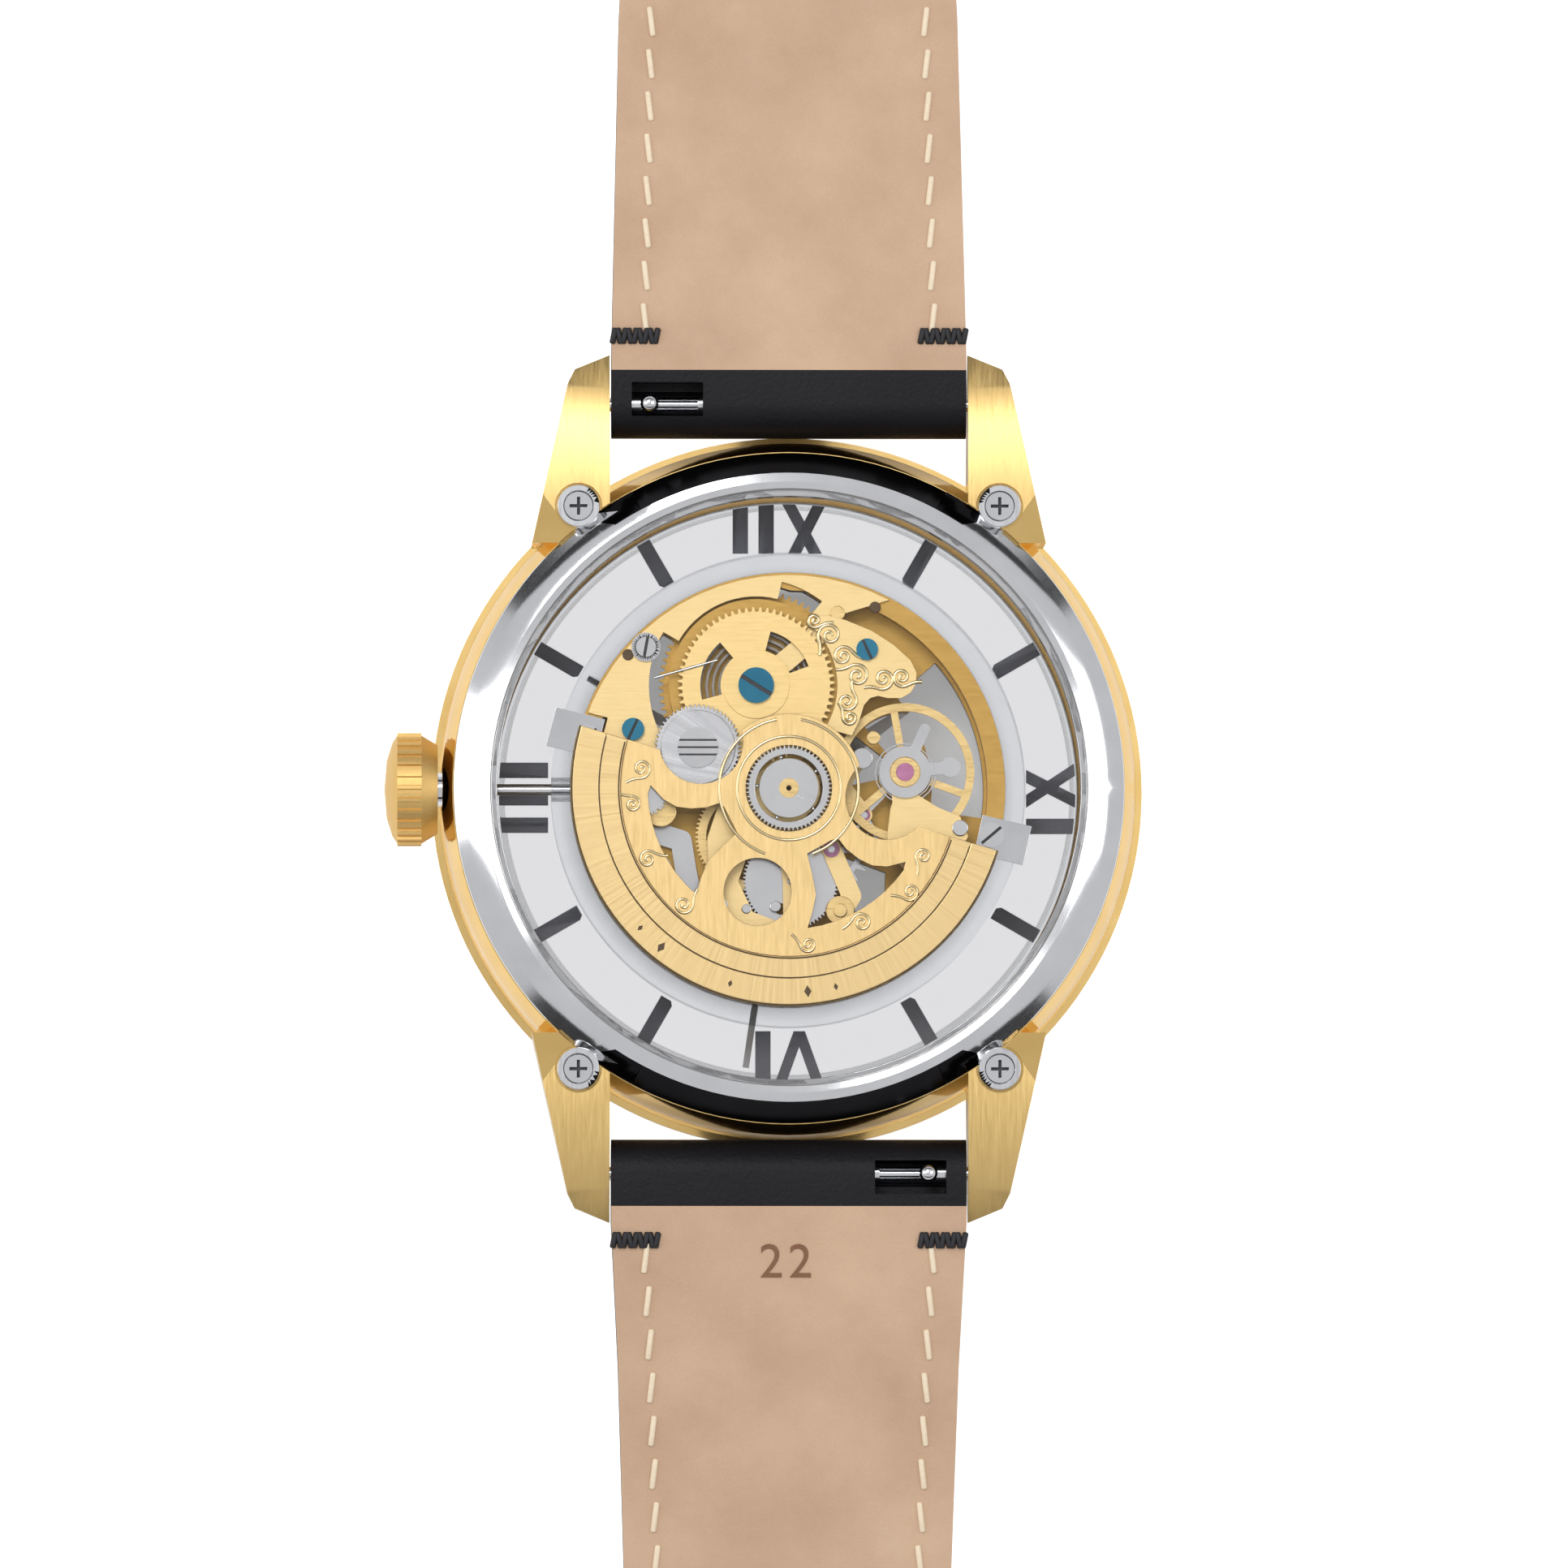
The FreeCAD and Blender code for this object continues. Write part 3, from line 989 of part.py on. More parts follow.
# ---------------------------------------------------------------- rotor
def rotor_plan():
    """Half-disc with a round hub, waisted by two dips; the heavy side points along -Y."""
    rim = arc_points(ROTOR_INNER_R, 180, 360, ORIGIN, 3.0)
    half = Part.Face(polygon_wire(rim))
    hub = Part.Face(circle_wire(ROTOR_HUB_R))
    return half, hub


def rotor_plate():
    """Pierced brass plate that joins the bearing to the heavy rim."""
    z0 = ROTOR_PLATE_Z0
    z1 = z0 + ROTOR_PLATE_T
    half = prism(arc_points(ROTOR_INNER_R - 0.02, 180, 360, ORIGIN, 3.0), z0, z1)
    body = half.fuse(disc(ROTOR_HUB_R, z0, z1))
    dips = [disc(2.6, z0, z1, (side * 6.0, 1.2)) for side in (-1, 1)]
    window = [(-8.2, -2.3), (-7.2, -2.9), (-6.3, -3.1), (-5.4, -2.95), (-4.5, -2.6), (-3.8, -2.1), (-3.46, -2.3),
              (-2.25, -3.55), (-2.9, -4.65), (-3.5, -5.8), (-3.6, -6.85), (-3.6, -7.9)]
    window += arc_points(8.7, 245.6, 199, ORIGIN)
    left = prism(window, z0, z1)
    right = left.mirror(V(0, 0, 0), X_AXIS)
    round_window = disc(2.1, z0, z1, (0, -6.69))
    bore = disc(BEARING_OUTER_R, z0, z1)
    solid = body.cut(dips + [left, right, round_window, bore])
    solid.rotate(V(0, 0, 0), Z_AXIS, ROTOR_TURN)
    return solid


def rotor_weight():
    """Heavy half ring with a step in its upper face."""
    z0 = ROTOR_RIM_Z0
    step_r = ROTOR_INNER_R + 1.35
    profile = [(ROTOR_INNER_R, z0), (ROTOR_R, z0), (ROTOR_R, z0 + ROTOR_RIM_T - 0.15),
               (ROTOR_R - 0.15, z0 + ROTOR_RIM_T), (step_r, z0 + ROTOR_RIM_T), (step_r, z0 + ROTOR_RIM_T - 0.1),
               (ROTOR_INNER_R, z0 + ROTOR_RIM_T - 0.1)]
    corners = [V(r, 0, z) for r, z in profile]
    face = Part.Face(Part.makePolygon(corners + corners[:1]))
    solid = face.revolve(V(0, 0, 0), Z_AXIS, 180)
    solid.rotate(V(0, 0, 0), Z_AXIS, 180 + ROTOR_TURN)
    return solid


def rotor_bearing_outer():
    """Toothed outer race that turns with the rotor."""
    return gear(60, BEARING_OUTER_R - 0.08, 9.25, 10.1, ORIGIN, 0, [circle_wire(BEARING_INNER_R + 0.27)]).common(
        disc(BEARING_OUTER_R, 9, 11))


def rotor_bearing_inner():
    """Fixed inner race on the centre post, slotted for a driver."""
    body = ring(BEARING_INNER_R, 0.6, ROTOR_RIM_Z0, 10.15)
    slot = box((-BEARING_INNER_R, BEARING_INNER_R), (-0.16, 0.16), (10.0, 10.3))
    slot.rotate(V(0, 0, 0), Z_AXIS, -27)
    return body.cut(slot)


def bearing_bush():
    return ring(0.6, 0.17, ROTOR_RIM_Z0, 10.2)


def bearing_balls():
    """Balls in the gap between the two races."""
    track_r = BEARING_INNER_R + 0.135
    return Part.makeCompound([Part.makeSphere(BALL_R, at(polar(track_r, 32 + 72 * i), 9.9))
                              for i in range(BEARING_BALLS)])


# ---------------------------------------------------------------- strap
def strap_curve(points, straight_to):
    """Smooth edge through these (distance, z) points, then straight to the end."""
    knots = [V(0, BAR_Y + s, z) for s, z in points]
    curve = Part.BSplineCurve()
    curve.interpolate(Points=knots, InitialTangent=V(0, 1, 0), FinalTangent=V(0, 1, 0))
    last = knots[-1]
    return [curve.toShape(), Part.makeLine(last, V(0, BAR_Y + straight_to, last.z))]


def strap_profile(stations, end, top_cut=0.0, start=0.0):
    """Side outline between the two faces; top_cut keeps only that much below the top face."""
    top = [(s, z + t / 2) for s, z, t in stations]
    low = [(s, z - t / 2) for s, z, t in stations]
    if top_cut:
        low = [(s, z - top_cut) for s, z in top]
    upper = strap_curve(top, end)
    lower = strap_curve(low, end)
    first = Part.makeLine(V(0, BAR_Y + start, low[0][1]), V(0, BAR_Y + start, top[0][1]))
    last = Part.makeLine(V(0, BAR_Y + end, low[-1][1]), V(0, BAR_Y + end, top[-1][1]))
    edges = Part.sortEdges([first, last] + upper + lower)[0]
    return Part.Face(Part.Wire(edges))


def strap_plan(widths, end_points):
    """Plan outline from (distance, width) pairs, closed by its own end."""
    right = [(w / 2, BAR_Y + s) for s, w in widths]
    left = [(-x, y) for x, y in right[::-1]]
    tip = [(x, BAR_Y + s) for s, x in end_points]
    return prism(right + tip + left, -5, 20)


def top_stations():
    return [(0, BAR_Z, STRAP_LUG_T), (5, BAR_Z - 0.2, STRAP_LUG_T), (12, BAR_Z - 1.0, STRAP_LUG_T - 0.3),
            (22, TOP_STRAP_Z + 1.45, 3.3), (34, TOP_STRAP_Z + 0.45, 2.7), (46, TOP_STRAP_Z, STRAP_END_T)]


def lower_stations():
    return [(0, BAR_Z, STRAP_LUG_T), (5, BAR_Z - 0.3, STRAP_LUG_T), (12, BAR_Z - 1.6, STRAP_LUG_T - 0.3),
            (22, LOWER_STRAP_Z + 3.45, 3.4), (34, LOWER_STRAP_Z + 1.55, 3.0), (46, LOWER_STRAP_Z + 0.45, 2.6),
            (58, LOWER_STRAP_Z, STRAP_END_T)]


def slot_x0():
    return -9.7


def strap_bar_cuts():
    """Bore for the spring bar and the slot for its quick-release knob."""
    bore = rod_x(BAR_R + SEAT_GAP, -LUG_INNER_X, LUG_INNER_X, BAR_Y, BAR_Z)
    slot = box((slot_x0(), slot_x0() + 4.4), (BAR_Y - 0.8, BAR_Y + 1.3), (BAR_Z, BAR_Z + STRAP_LUG_T))
    return [bore, slot]


def strap_body(stations, length, plan, lining_end):
    """Leather with its loop round the bar, and the lining that covers its inner face."""
    straight = side_face_solid(strap_profile(stations, length))
    nose = rod_x(STRAP_LUG_T / 2, -LUG_INNER_X, LUG_INNER_X, BAR_Y, BAR_Z)
    whole = straight.fuse(nose).common(plan)
    skin = side_face_solid(strap_profile(stations, length, LINING_T)).common(plan)
    span = box((-LUG_INNER_X, LUG_INNER_X), (BAR_Y + LOOP_REACH, BAR_Y + lining_end), (-5, 20))
    lining = skin.common(span)
    leather = whole.cut(lining).cut(strap_bar_cuts())
    return leather, lining


def side_face_solid(face):
    solid = face.extrude(V(2 * LUG_INNER_X, 0, 0))
    solid.translate(V(-LUG_INNER_X, 0, 0))
    return solid


def top_strap():
    widths = [(-STRAP_LUG_T / 2 - 0.1, STRAP_LUG_W), (3, STRAP_LUG_W), (13, STRAP_LUG_W - 0.45),
              (24, STRAP_LUG_W - 0.95), (38, STRAP_LUG_W - 2.4), (50, STRAP_END_W)]
    end = TOP_STRAP_L + BUCKLE_BAR_R + 0.75
    plan = strap_plan(widths, [(end, STRAP_END_W / 2), (end, -STRAP_END_W / 2)])
    leather, lining = strap_body(top_stations(), TOP_STRAP_L, plan, TOP_STRAP_L - 4.0)
    bar_y = BAR_Y + TOP_STRAP_L
    end_loop = rod_x(BUCKLE_BAR_R + 0.75, -STRAP_END_W / 2, STRAP_END_W / 2, bar_y, TOP_STRAP_Z)
    bar_bore = rod_x(BUCKLE_BAR_R + 0.02, -LUG_INNER_X, LUG_INNER_X, bar_y, TOP_STRAP_Z)
    notch = box((-TONGUE_W / 2 - 0.5, TONGUE_W / 2 + 0.5), (bar_y - 2.6, bar_y + 3), (0, 20))
    leather = leather.fuse(end_loop).cut([bar_bore, notch]).removeSplitter()
    return leather, lining


def lower_strap():
    widths = [(-STRAP_LUG_T / 2 - 0.1, STRAP_LUG_W), (3, STRAP_LUG_W), (12, STRAP_LUG_W - 0.9),
              (24, STRAP_LUG_W - 1.65), (40, STRAP_LUG_W - 2.9), (60, STRAP_END_W)]
    half = STRAP_END_W / 2
    shoulder = LOWER_STRAP_L - TIP_L
    tip = [(shoulder, half), (shoulder + 0.45 * TIP_L, 0.8 * half), (shoulder + 0.8 * TIP_L, 0.47 * half),
           (LOWER_STRAP_L - 0.3, 0.16 * half), (LOWER_STRAP_L, 0.0)]
    tip = tip + [(s, -x) for s, x in tip[-2::-1]]
    plan = strap_plan(widths, tip)
    leather, lining = strap_body(lower_stations(), LOWER_STRAP_L, plan, LOWER_STRAP_L)
    first = LOWER_STRAP_L - 24.0 - HOLE_PITCH * (HOLE_COUNT - 1)
    holes = [disc(HOLE_R, -1, 5, (0, BAR_Y + first + i * HOLE_PITCH)) for i in range(HOLE_COUNT)]
    return [turn_to_lower(shape.cut(holes)) for shape in (leather, lining)]


def turn_to_lower(shape):
    """Carry a piece of the twelve o'clock side round to the six o'clock side."""
    shape.rotate(V(0, 0, 0), Z_AXIS, 180)
    return shape


def strap_top_leather():
    return top_strap()[0]


def strap_top_lining():
    return top_strap()[1]


def strap_lower_leather():
    return lower_strap()[0]


def strap_lower_lining():
    return lower_strap()[1]


KNOB_X = -8.6
SLIDER_IN = -5.2


def spring_bar():
    """Tube with one fixed end pin, slotted for the knob of the sliding pin."""
    half = LUG_INNER_X - 0.45
    tube = rod_x(BAR_R, -half, half, BAR_Y, BAR_Z)
    hollow = rod_x(BAR_PIN_R + RUN_GAP, -half, -1.5, BAR_Y, BAR_Z)
    slot = box((KNOB_X - 0.5, KNOB_X + 3.0), (BAR_Y - 0.4, BAR_Y + 0.4), (BAR_Z, BAR_Z + 2))
    pin = rod_x(BAR_PIN_R, half, LUG_INNER_X + BAR_PIN_REACH, BAR_Y, BAR_Z)
    return tube.cut([hollow, slot]).fuse(pin)


def quick_release():
    """Sliding pin of the spring bar with its knob."""
    pin = rod_x(BAR_PIN_R, -(LUG_INNER_X + BAR_PIN_REACH), SLIDER_IN, BAR_Y, BAR_Z)
    stem = disc(0.3, BAR_Z, BAR_Z + 1.5, (KNOB_X, BAR_Y))
    knob = Part.makeSphere(0.57, V(KNOB_X, BAR_Y, BAR_Z + 1.75))
    return joined([pin, stem, knob])


def keeper(middle):
    """Leather loop with room for both ends of the strap."""
    half_w = STRAP_END_W / 2 + 0.3
    low = TOP_STRAP_Z - STRAP_END_T / 2 - STRAP_END_T - 0.2
    high = TOP_STRAP_Z + STRAP_END_T / 2 + 0.12
    y0 = BAR_Y + middle - KEEPER_L / 2
    y1 = y0 + KEEPER_L
    outer = box((-half_w - KEEPER_WALL, half_w + KEEPER_WALL), (y0, y1), (low - KEEPER_WALL, high + KEEPER_WALL))
    upright = [edge for edge in outer.Edges if abs(edge.tangentAt(edge.FirstParameter).y) > 0.9]
    outer = outer.makeFillet(0.8, upright)
    return outer.cut(box((-half_w, half_w), (y0 - 1, y1 + 1), (low, high)))


def fixed_keeper():
    """Keeper that is stitched to the strap beside the buckle."""
    return keeper(TOP_STRAP_L - 6.5)


def free_keeper():
    return keeper(TOP_STRAP_L - 13.5)


def buckle_bar():
    half = STRAP_END_W / 2 + 0.3 + BUCKLE_RAIL
    return rod_x(BUCKLE_BAR_R, -half, half, BAR_Y + TOP_STRAP_L, TOP_STRAP_Z)


def buckle_slope(y_from_bar, above):
    """Height of the buckle's face at this distance from its bar."""
    top_bar = TOP_STRAP_Z + 1.35
    top_end = 2.35
    low_bar = TOP_STRAP_Z - 1.35
    low_end = 0.1
    share = y_from_bar / BUCKLE_L
    return top_bar + (top_end - top_bar) * share if above else low_bar + (low_end - low_bar) * share


def buckle_frame():
    """Rectangular frame that slopes from its bar down to the table."""
    y_bar = BAR_Y + TOP_STRAP_L
    half = STRAP_END_W / 2 + 0.3 + BUCKLE_RAIL
    side = [(y_bar, buckle_slope(0, False)), (y_bar + BUCKLE_L, buckle_slope(BUCKLE_L, False)),
            (y_bar + BUCKLE_L, buckle_slope(BUCKLE_L, True)), (y_bar, buckle_slope(0, True))]
    body = side_prism(side, -half, half).fuse(rod_x(1.35, -half, half, y_bar, TOP_STRAP_Z))
    corner = 3.0
    plan = prism([(-half, y_bar - 3), (half, y_bar - 3), (half, y_bar + BUCKLE_L - corner)]
                 + arc_points(corner, 0, 90, (half - corner, y_bar + BUCKLE_L - corner), 10)
                 + arc_points(corner, 90, 180, (corner - half, y_bar + BUCKLE_L - corner), 10), -5, 20)
    body = body.common(plan)
    inner = half - BUCKLE_RAIL
    window = box((-inner, inner), (y_bar - 3, y_bar + BUCKLE_L - BUCKLE_CROSS), (-5, 20))
    bore = rod_x(BUCKLE_BAR_R + RUN_GAP, -2 * half, 2 * half, y_bar, TOP_STRAP_Z)
    return body.cut([window, bore])


def buckle_tongue():
    """Flat tongue that turns on the bar and rests on the end of the frame."""
    y_bar = BAR_Y + TOP_STRAP_L
    lift = 0.06
    far = BUCKLE_L + 0.3
    low_near = buckle_slope(0.6, True) + lift
    low_far = buckle_slope(far, True) + lift
    side = [(y_bar, low_near - 0.35), (y_bar + 1.5, buckle_slope(1.5, True) + lift), (y_bar + far, low_far),
            (y_bar + far, low_far + 0.45), (y_bar + far - 1.2, low_far + TONGUE_T), (y_bar, low_near + TONGUE_T - 0.35)]
    blade = side_prism(side, -TONGUE_W / 2, TONGUE_W / 2)
    eye = rod_x(BUCKLE_BAR_R + 0.8, -TONGUE_W / 2, TONGUE_W / 2, y_bar, TOP_STRAP_Z)
    bore = rod_x(BUCKLE_BAR_R + RUN_GAP, -TONGUE_W, TONGUE_W, y_bar, TOP_STRAP_Z)
    return eye.fuse(blade).cut(bore).removeSplitter()


# ---------------------------------------------------------------- output
def group(*makers):
    """One node that holds several separate solids."""
    def make():
        return Part.makeCompound([maker() for maker in makers])
    return make


def lower(make):
    """The six o'clock copy of a strap fitting."""
    def place():
        return turn_to_lower(make())
    return place


NODES = {
    "mid_case": mid_case,
    "bezel": bezel,
    "front_crystal": front_crystal,
    "case_gaskets": group(crystal_gasket, case_back_gasket),
    "case_back_ring": case_back_ring,
    "case_back_crystal": case_back_crystal,
    "case_back_screws": case_back_screws,
    "crown_tube": crown_tube,
    "crown": crown,
    "crown_seal": crown_seal,
    "winding_stem": winding_stem,
    "winding_pinion": winding_pinion,
    "hour_markers": hour_markers,
    "dial": dial,
    "flange_ring": flange_ring,
    "seconds_hand": group(seconds_hand, seconds_pinion),
    "minute_hand": minute_hand,
    "cannon_pinion": cannon_pinion,
    "minute_wheel": minute_wheel,
    "hour_hand": hour_hand,
    "hour_wheel": hour_wheel,
    "main_plate": main_plate,
    "movement_holder": movement_holder,
    "movement_clamps": movement_clamps,
    "barrel_bridge": barrel_bridge,
    "scroll_bridge": scroll_bridge,
    "train_bridge": group(train_bridge, escape_bridge),
    "balance_cock": balance_cock,
    "regulator": group(regulator, jewel_setting),
    "jewels": jewels,
    "blued_screws": blued_screws,
    "steel_screws": steel_screws,
    "setting_lever": setting_lever,
    "barrel": group(barrel, mainspring),
    "ratchet_wheel": group(ratchet_wheel, barrel_arbor),
    "ratchet_screw": ratchet_screw,
    "crown_wheel": crown_wheel,
    "transfer_wheel": transfer_wheel,
    "centre_wheel": centre_wheel,
    "third_wheel": third_wheel,
    "fourth_wheel": fourth_wheel,
    "escape_wheel": escape_wheel,
    "pallet_fork": pallet_fork,
    "balance_wheel": group(balance_wheel, hairspring),
    "rotor_plate": rotor_plate,
    "rotor_weight": rotor_weight,
    "rotor_bearing_outer": rotor_bearing_outer,
    "rotor_bearing_inner": group(rotor_bearing_inner, bearing_bush, bearing_balls),
    "strap_top_leather": strap_top_leather,
    "strap_top_lining": strap_top_lining,
    "strap_lower_leather": strap_lower_leather,
    "strap_lower_lining": strap_lower_lining,
    "strap_top_bars": group(spring_bar, buckle_bar),
    "strap_lower_bar": lower(spring_bar),
    "quick_release_top": quick_release,
    "quick_release_lower": lower(quick_release),
    "fixed_keeper": fixed_keeper,
    "free_keeper": free_keeper,
    "buckle_frame": buckle_frame,
    "buckle_tongue": buckle_tongue,
}


def main():
    os.makedirs("parts", exist_ok=True)
    for name, make in NODES.items():
        shape = make()
        shape.exportStep("parts/" + name + ".step")
        print(name, len(shape.Solids), round(shape.Volume, 3), shape.isValid())


main()
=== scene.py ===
"""Looks of an automatic skeleton wristwatch that lies face down on a white table."""
import json
import math
import bmesh
import bpy
from bpy.props import FloatProperty, FloatVectorProperty, IntProperty, PointerProperty
from mathutils import Matrix, Vector
from mathutils.bvhtree import BVHTree


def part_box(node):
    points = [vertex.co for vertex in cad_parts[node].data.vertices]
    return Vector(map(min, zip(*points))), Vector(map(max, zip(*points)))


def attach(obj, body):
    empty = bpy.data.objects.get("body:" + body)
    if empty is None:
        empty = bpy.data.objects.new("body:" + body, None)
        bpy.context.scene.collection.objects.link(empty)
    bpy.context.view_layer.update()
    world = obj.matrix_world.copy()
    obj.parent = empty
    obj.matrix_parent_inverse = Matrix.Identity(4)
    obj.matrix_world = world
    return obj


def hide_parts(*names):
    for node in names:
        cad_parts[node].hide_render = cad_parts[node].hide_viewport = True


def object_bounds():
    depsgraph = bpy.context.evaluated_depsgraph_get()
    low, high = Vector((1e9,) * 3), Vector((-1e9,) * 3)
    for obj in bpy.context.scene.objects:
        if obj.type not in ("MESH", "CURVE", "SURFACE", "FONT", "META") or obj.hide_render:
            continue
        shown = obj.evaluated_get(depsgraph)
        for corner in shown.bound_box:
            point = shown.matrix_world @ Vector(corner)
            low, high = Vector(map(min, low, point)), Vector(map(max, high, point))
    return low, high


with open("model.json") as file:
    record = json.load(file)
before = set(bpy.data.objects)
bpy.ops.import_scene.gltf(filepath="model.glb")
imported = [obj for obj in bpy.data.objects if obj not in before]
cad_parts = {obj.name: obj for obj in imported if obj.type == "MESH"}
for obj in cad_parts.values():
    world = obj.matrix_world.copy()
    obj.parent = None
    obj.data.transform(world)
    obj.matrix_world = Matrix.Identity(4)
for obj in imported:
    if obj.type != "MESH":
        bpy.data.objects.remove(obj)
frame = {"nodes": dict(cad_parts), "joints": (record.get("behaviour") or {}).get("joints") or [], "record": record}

bl_info = {
    "name": "Skeleton wristwatch",
    "version": (1, 0, 0),
    "blender": (4, 5, 0),
    "location": "View3D > Sidebar > Watch",
    "description": "Finishes and small pieces of an automatic skeleton wristwatch",
    "category": "Add Mesh",
}

MM = 0.001
CAD_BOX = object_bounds()
NODES = frame["nodes"]
BODY_OF = {node: body for body, members in frame["record"]["behaviour"]["bodies"].items() for node in members}
SLOT_OF = {part["node"]: part["material_slot"] for part in frame["record"]["subparts"]}


BALANCE = Vector(next(j["pos_m"] for j in frame["joints"] if j["name"] == "balance_swing"))
ROTOR_LEAN = -16.7       # degrees the weight's middle hangs past six o'clock
ROTOR_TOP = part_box("rotor_weight")[1].z
BRIDGE_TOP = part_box("scroll_bridge")[1].z
LUG_FACE_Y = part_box("mid_case")[1].y / MM - 9.5   # the lugs' brushed faces start here

CAMERA_LENS = 559.0      # mm on a 36 mm sensor
CAMERA_DISTANCE = 1.5    # m
CAMERA_AIM = Vector((-0.3, 0.25, 10.0)) * MM
CAMERA_LEAN = (1.0, 2.5)  # degrees towards -X and -Y
TABLE_GAP = 0.05 * MM    # table below the lowest point


# ------------------------------------------------------------------ settings
class WatchSizes(bpy.types.PropertyGroup):
    """Sizes of the small pieces"""
    stitch_pitch: FloatProperty(name="Stitch pitch", description="From one stitch to the next",
                                default=2.65 * MM, unit='LENGTH')
    stitch_length: FloatProperty(name="Stitch length", description="Visible length of a stitch",
                                 default=1.85 * MM, unit='LENGTH')
    thread: FloatProperty(name="Thread", description="Thickness of the sewing thread",
                          default=0.38 * MM, unit='LENGTH')
    stitch_inset: FloatProperty(name="Stitch inset", description="From the strap's edge to its row of stitches",
                                default=2.0 * MM, unit='LENGTH')
    bead: FloatProperty(name="Scroll bead", description="Width of the pressed scroll lines",
                        default=0.26 * MM, unit='LENGTH')
    tack_turns: IntProperty(name="Tack turns", description="Threads in one bar tack", default=9)


class WatchColours(bpy.types.PropertyGroup):
    """Light of the room"""
    floor: FloatVectorProperty(name="Table", description="Colour of the table", subtype='COLOR',
                               default=(0.93, 0.93, 0.93))
    room: FloatVectorProperty(name="Room", description="Colour of the light from all round", subtype='COLOR',
                              default=(0.78, 0.78, 0.79))


# ------------------------------------------------------------------ materials
def linear(code):
    """sRGB hex to linear colour."""
    values = [int(code[i:i + 2], 16) / 255 for i in (1, 3, 5)]
    return tuple(v / 12.92 if v <= 0.04045 else ((v + 0.055) / 1.055) ** 2.4 for v in values) + (1.0,)


def add(tree, kind, settings=None, **links):
    """Adds a node. settings are attributes; links are inputs by name, with _ for a space, or i0, i1 by place."""
    node = tree.nodes.new("ShaderNode" + kind)
    for key, value in (settings or {}).items():
        setattr(node, key, value)
    for key, value in links.items():
        place = int(key[1:]) if key[0] == "i" and key[1:].isdigit() else key.replace("_", " ")
        socket = node.inputs[place]
        if isinstance(value, bpy.types.NodeSocket):
            tree.links.new(value, socket)
        else:
            socket.default_value = value
    return node


def new_material(name):
    material = bpy.data.materials.new(name)
    material.use_nodes = True
    tree = material.node_tree
    tree.nodes.clear()
    shader = add(tree, "BsdfPrincipled")
    out = add(tree, "OutputMaterial")
    tree.links.new(shader.outputs[0], out.inputs[0])
    return material, tree, shader


def object_millimetres(tree):
    """Object coordinates in millimetres."""
    place = add(tree, "TexCoord")
    return add(tree, "VectorMath", {"operation": 'SCALE'}, i0=place.outputs["Object"], Scale=1 / MM).outputs[0]


def mixed_colours(tree, factor, dark, light):
    ramp = add(tree, "ValToRGB", Fac=factor)
    ramp.color_ramp.elements[0].color = linear(dark)
    ramp.color_ramp.elements[1].color = linear(light)
    return ramp.outputs[0]


def bumped(tree, shader, height, distance, strength=1.0):
    bump = add(tree, "Bump", Height=height, Distance=distance, Strength=strength)
    tree.links.new(bump.outputs[0], shader.inputs["Normal"])


def polished_metal(name, dark, light, roughness):
    """Buffed plate: an even mirror with faint cloudy wear and hairline marks a few hundredths wide."""
    material, tree, shader = new_material(name)
    where = object_millimetres(tree)
    cloud = add(tree, "TexNoise", Vector=where, Scale=0.35, Detail=3.0)
    hair = add(tree, "TexNoise", Vector=where, Scale=14.0, Detail=2.0)
    tree.links.new(mixed_colours(tree, cloud.outputs[0], dark, light), shader.inputs["Base Color"])
    rough = add(tree, "MapRange", i0=hair.outputs[0], i1=0.3, i2=0.8, i3=roughness, i4=roughness + 0.07)
    tree.links.new(rough.outputs[0], shader.inputs["Roughness"])
    shader.inputs["Metallic"].default_value = 1.0
    bumped(tree, shader, hair.outputs[0], 0.002 * MM, 0.25)
    return material


def brushed_metal(name, dark, light, roughness, stretch, scale):
    """Metal drawn under an abrasive belt: grooves a tenth of a millimetre apart, long in one direction."""
    material, tree, shader = new_material(name)
    where = object_millimetres(tree)
    squeezed = add(tree, "Mapping", Vector=where, Scale=stretch)
    grain = add(tree, "TexNoise", Vector=squeezed.outputs[0], Scale=scale, Detail=4.0, Roughness=0.7)
    tree.links.new(mixed_colours(tree, grain.outputs[0], dark, light), shader.inputs["Base Color"])
    rough = add(tree, "MapRange", i0=grain.outputs[0], i1=0.3, i2=0.7, i3=roughness, i4=roughness + 0.14)
    tree.links.new(rough.outputs[0], shader.inputs["Roughness"])
    shader.inputs["Metallic"].default_value = 1.0
    bumped(tree, shader, grain.outputs[0], 0.01 * MM, 0.5)
    return material


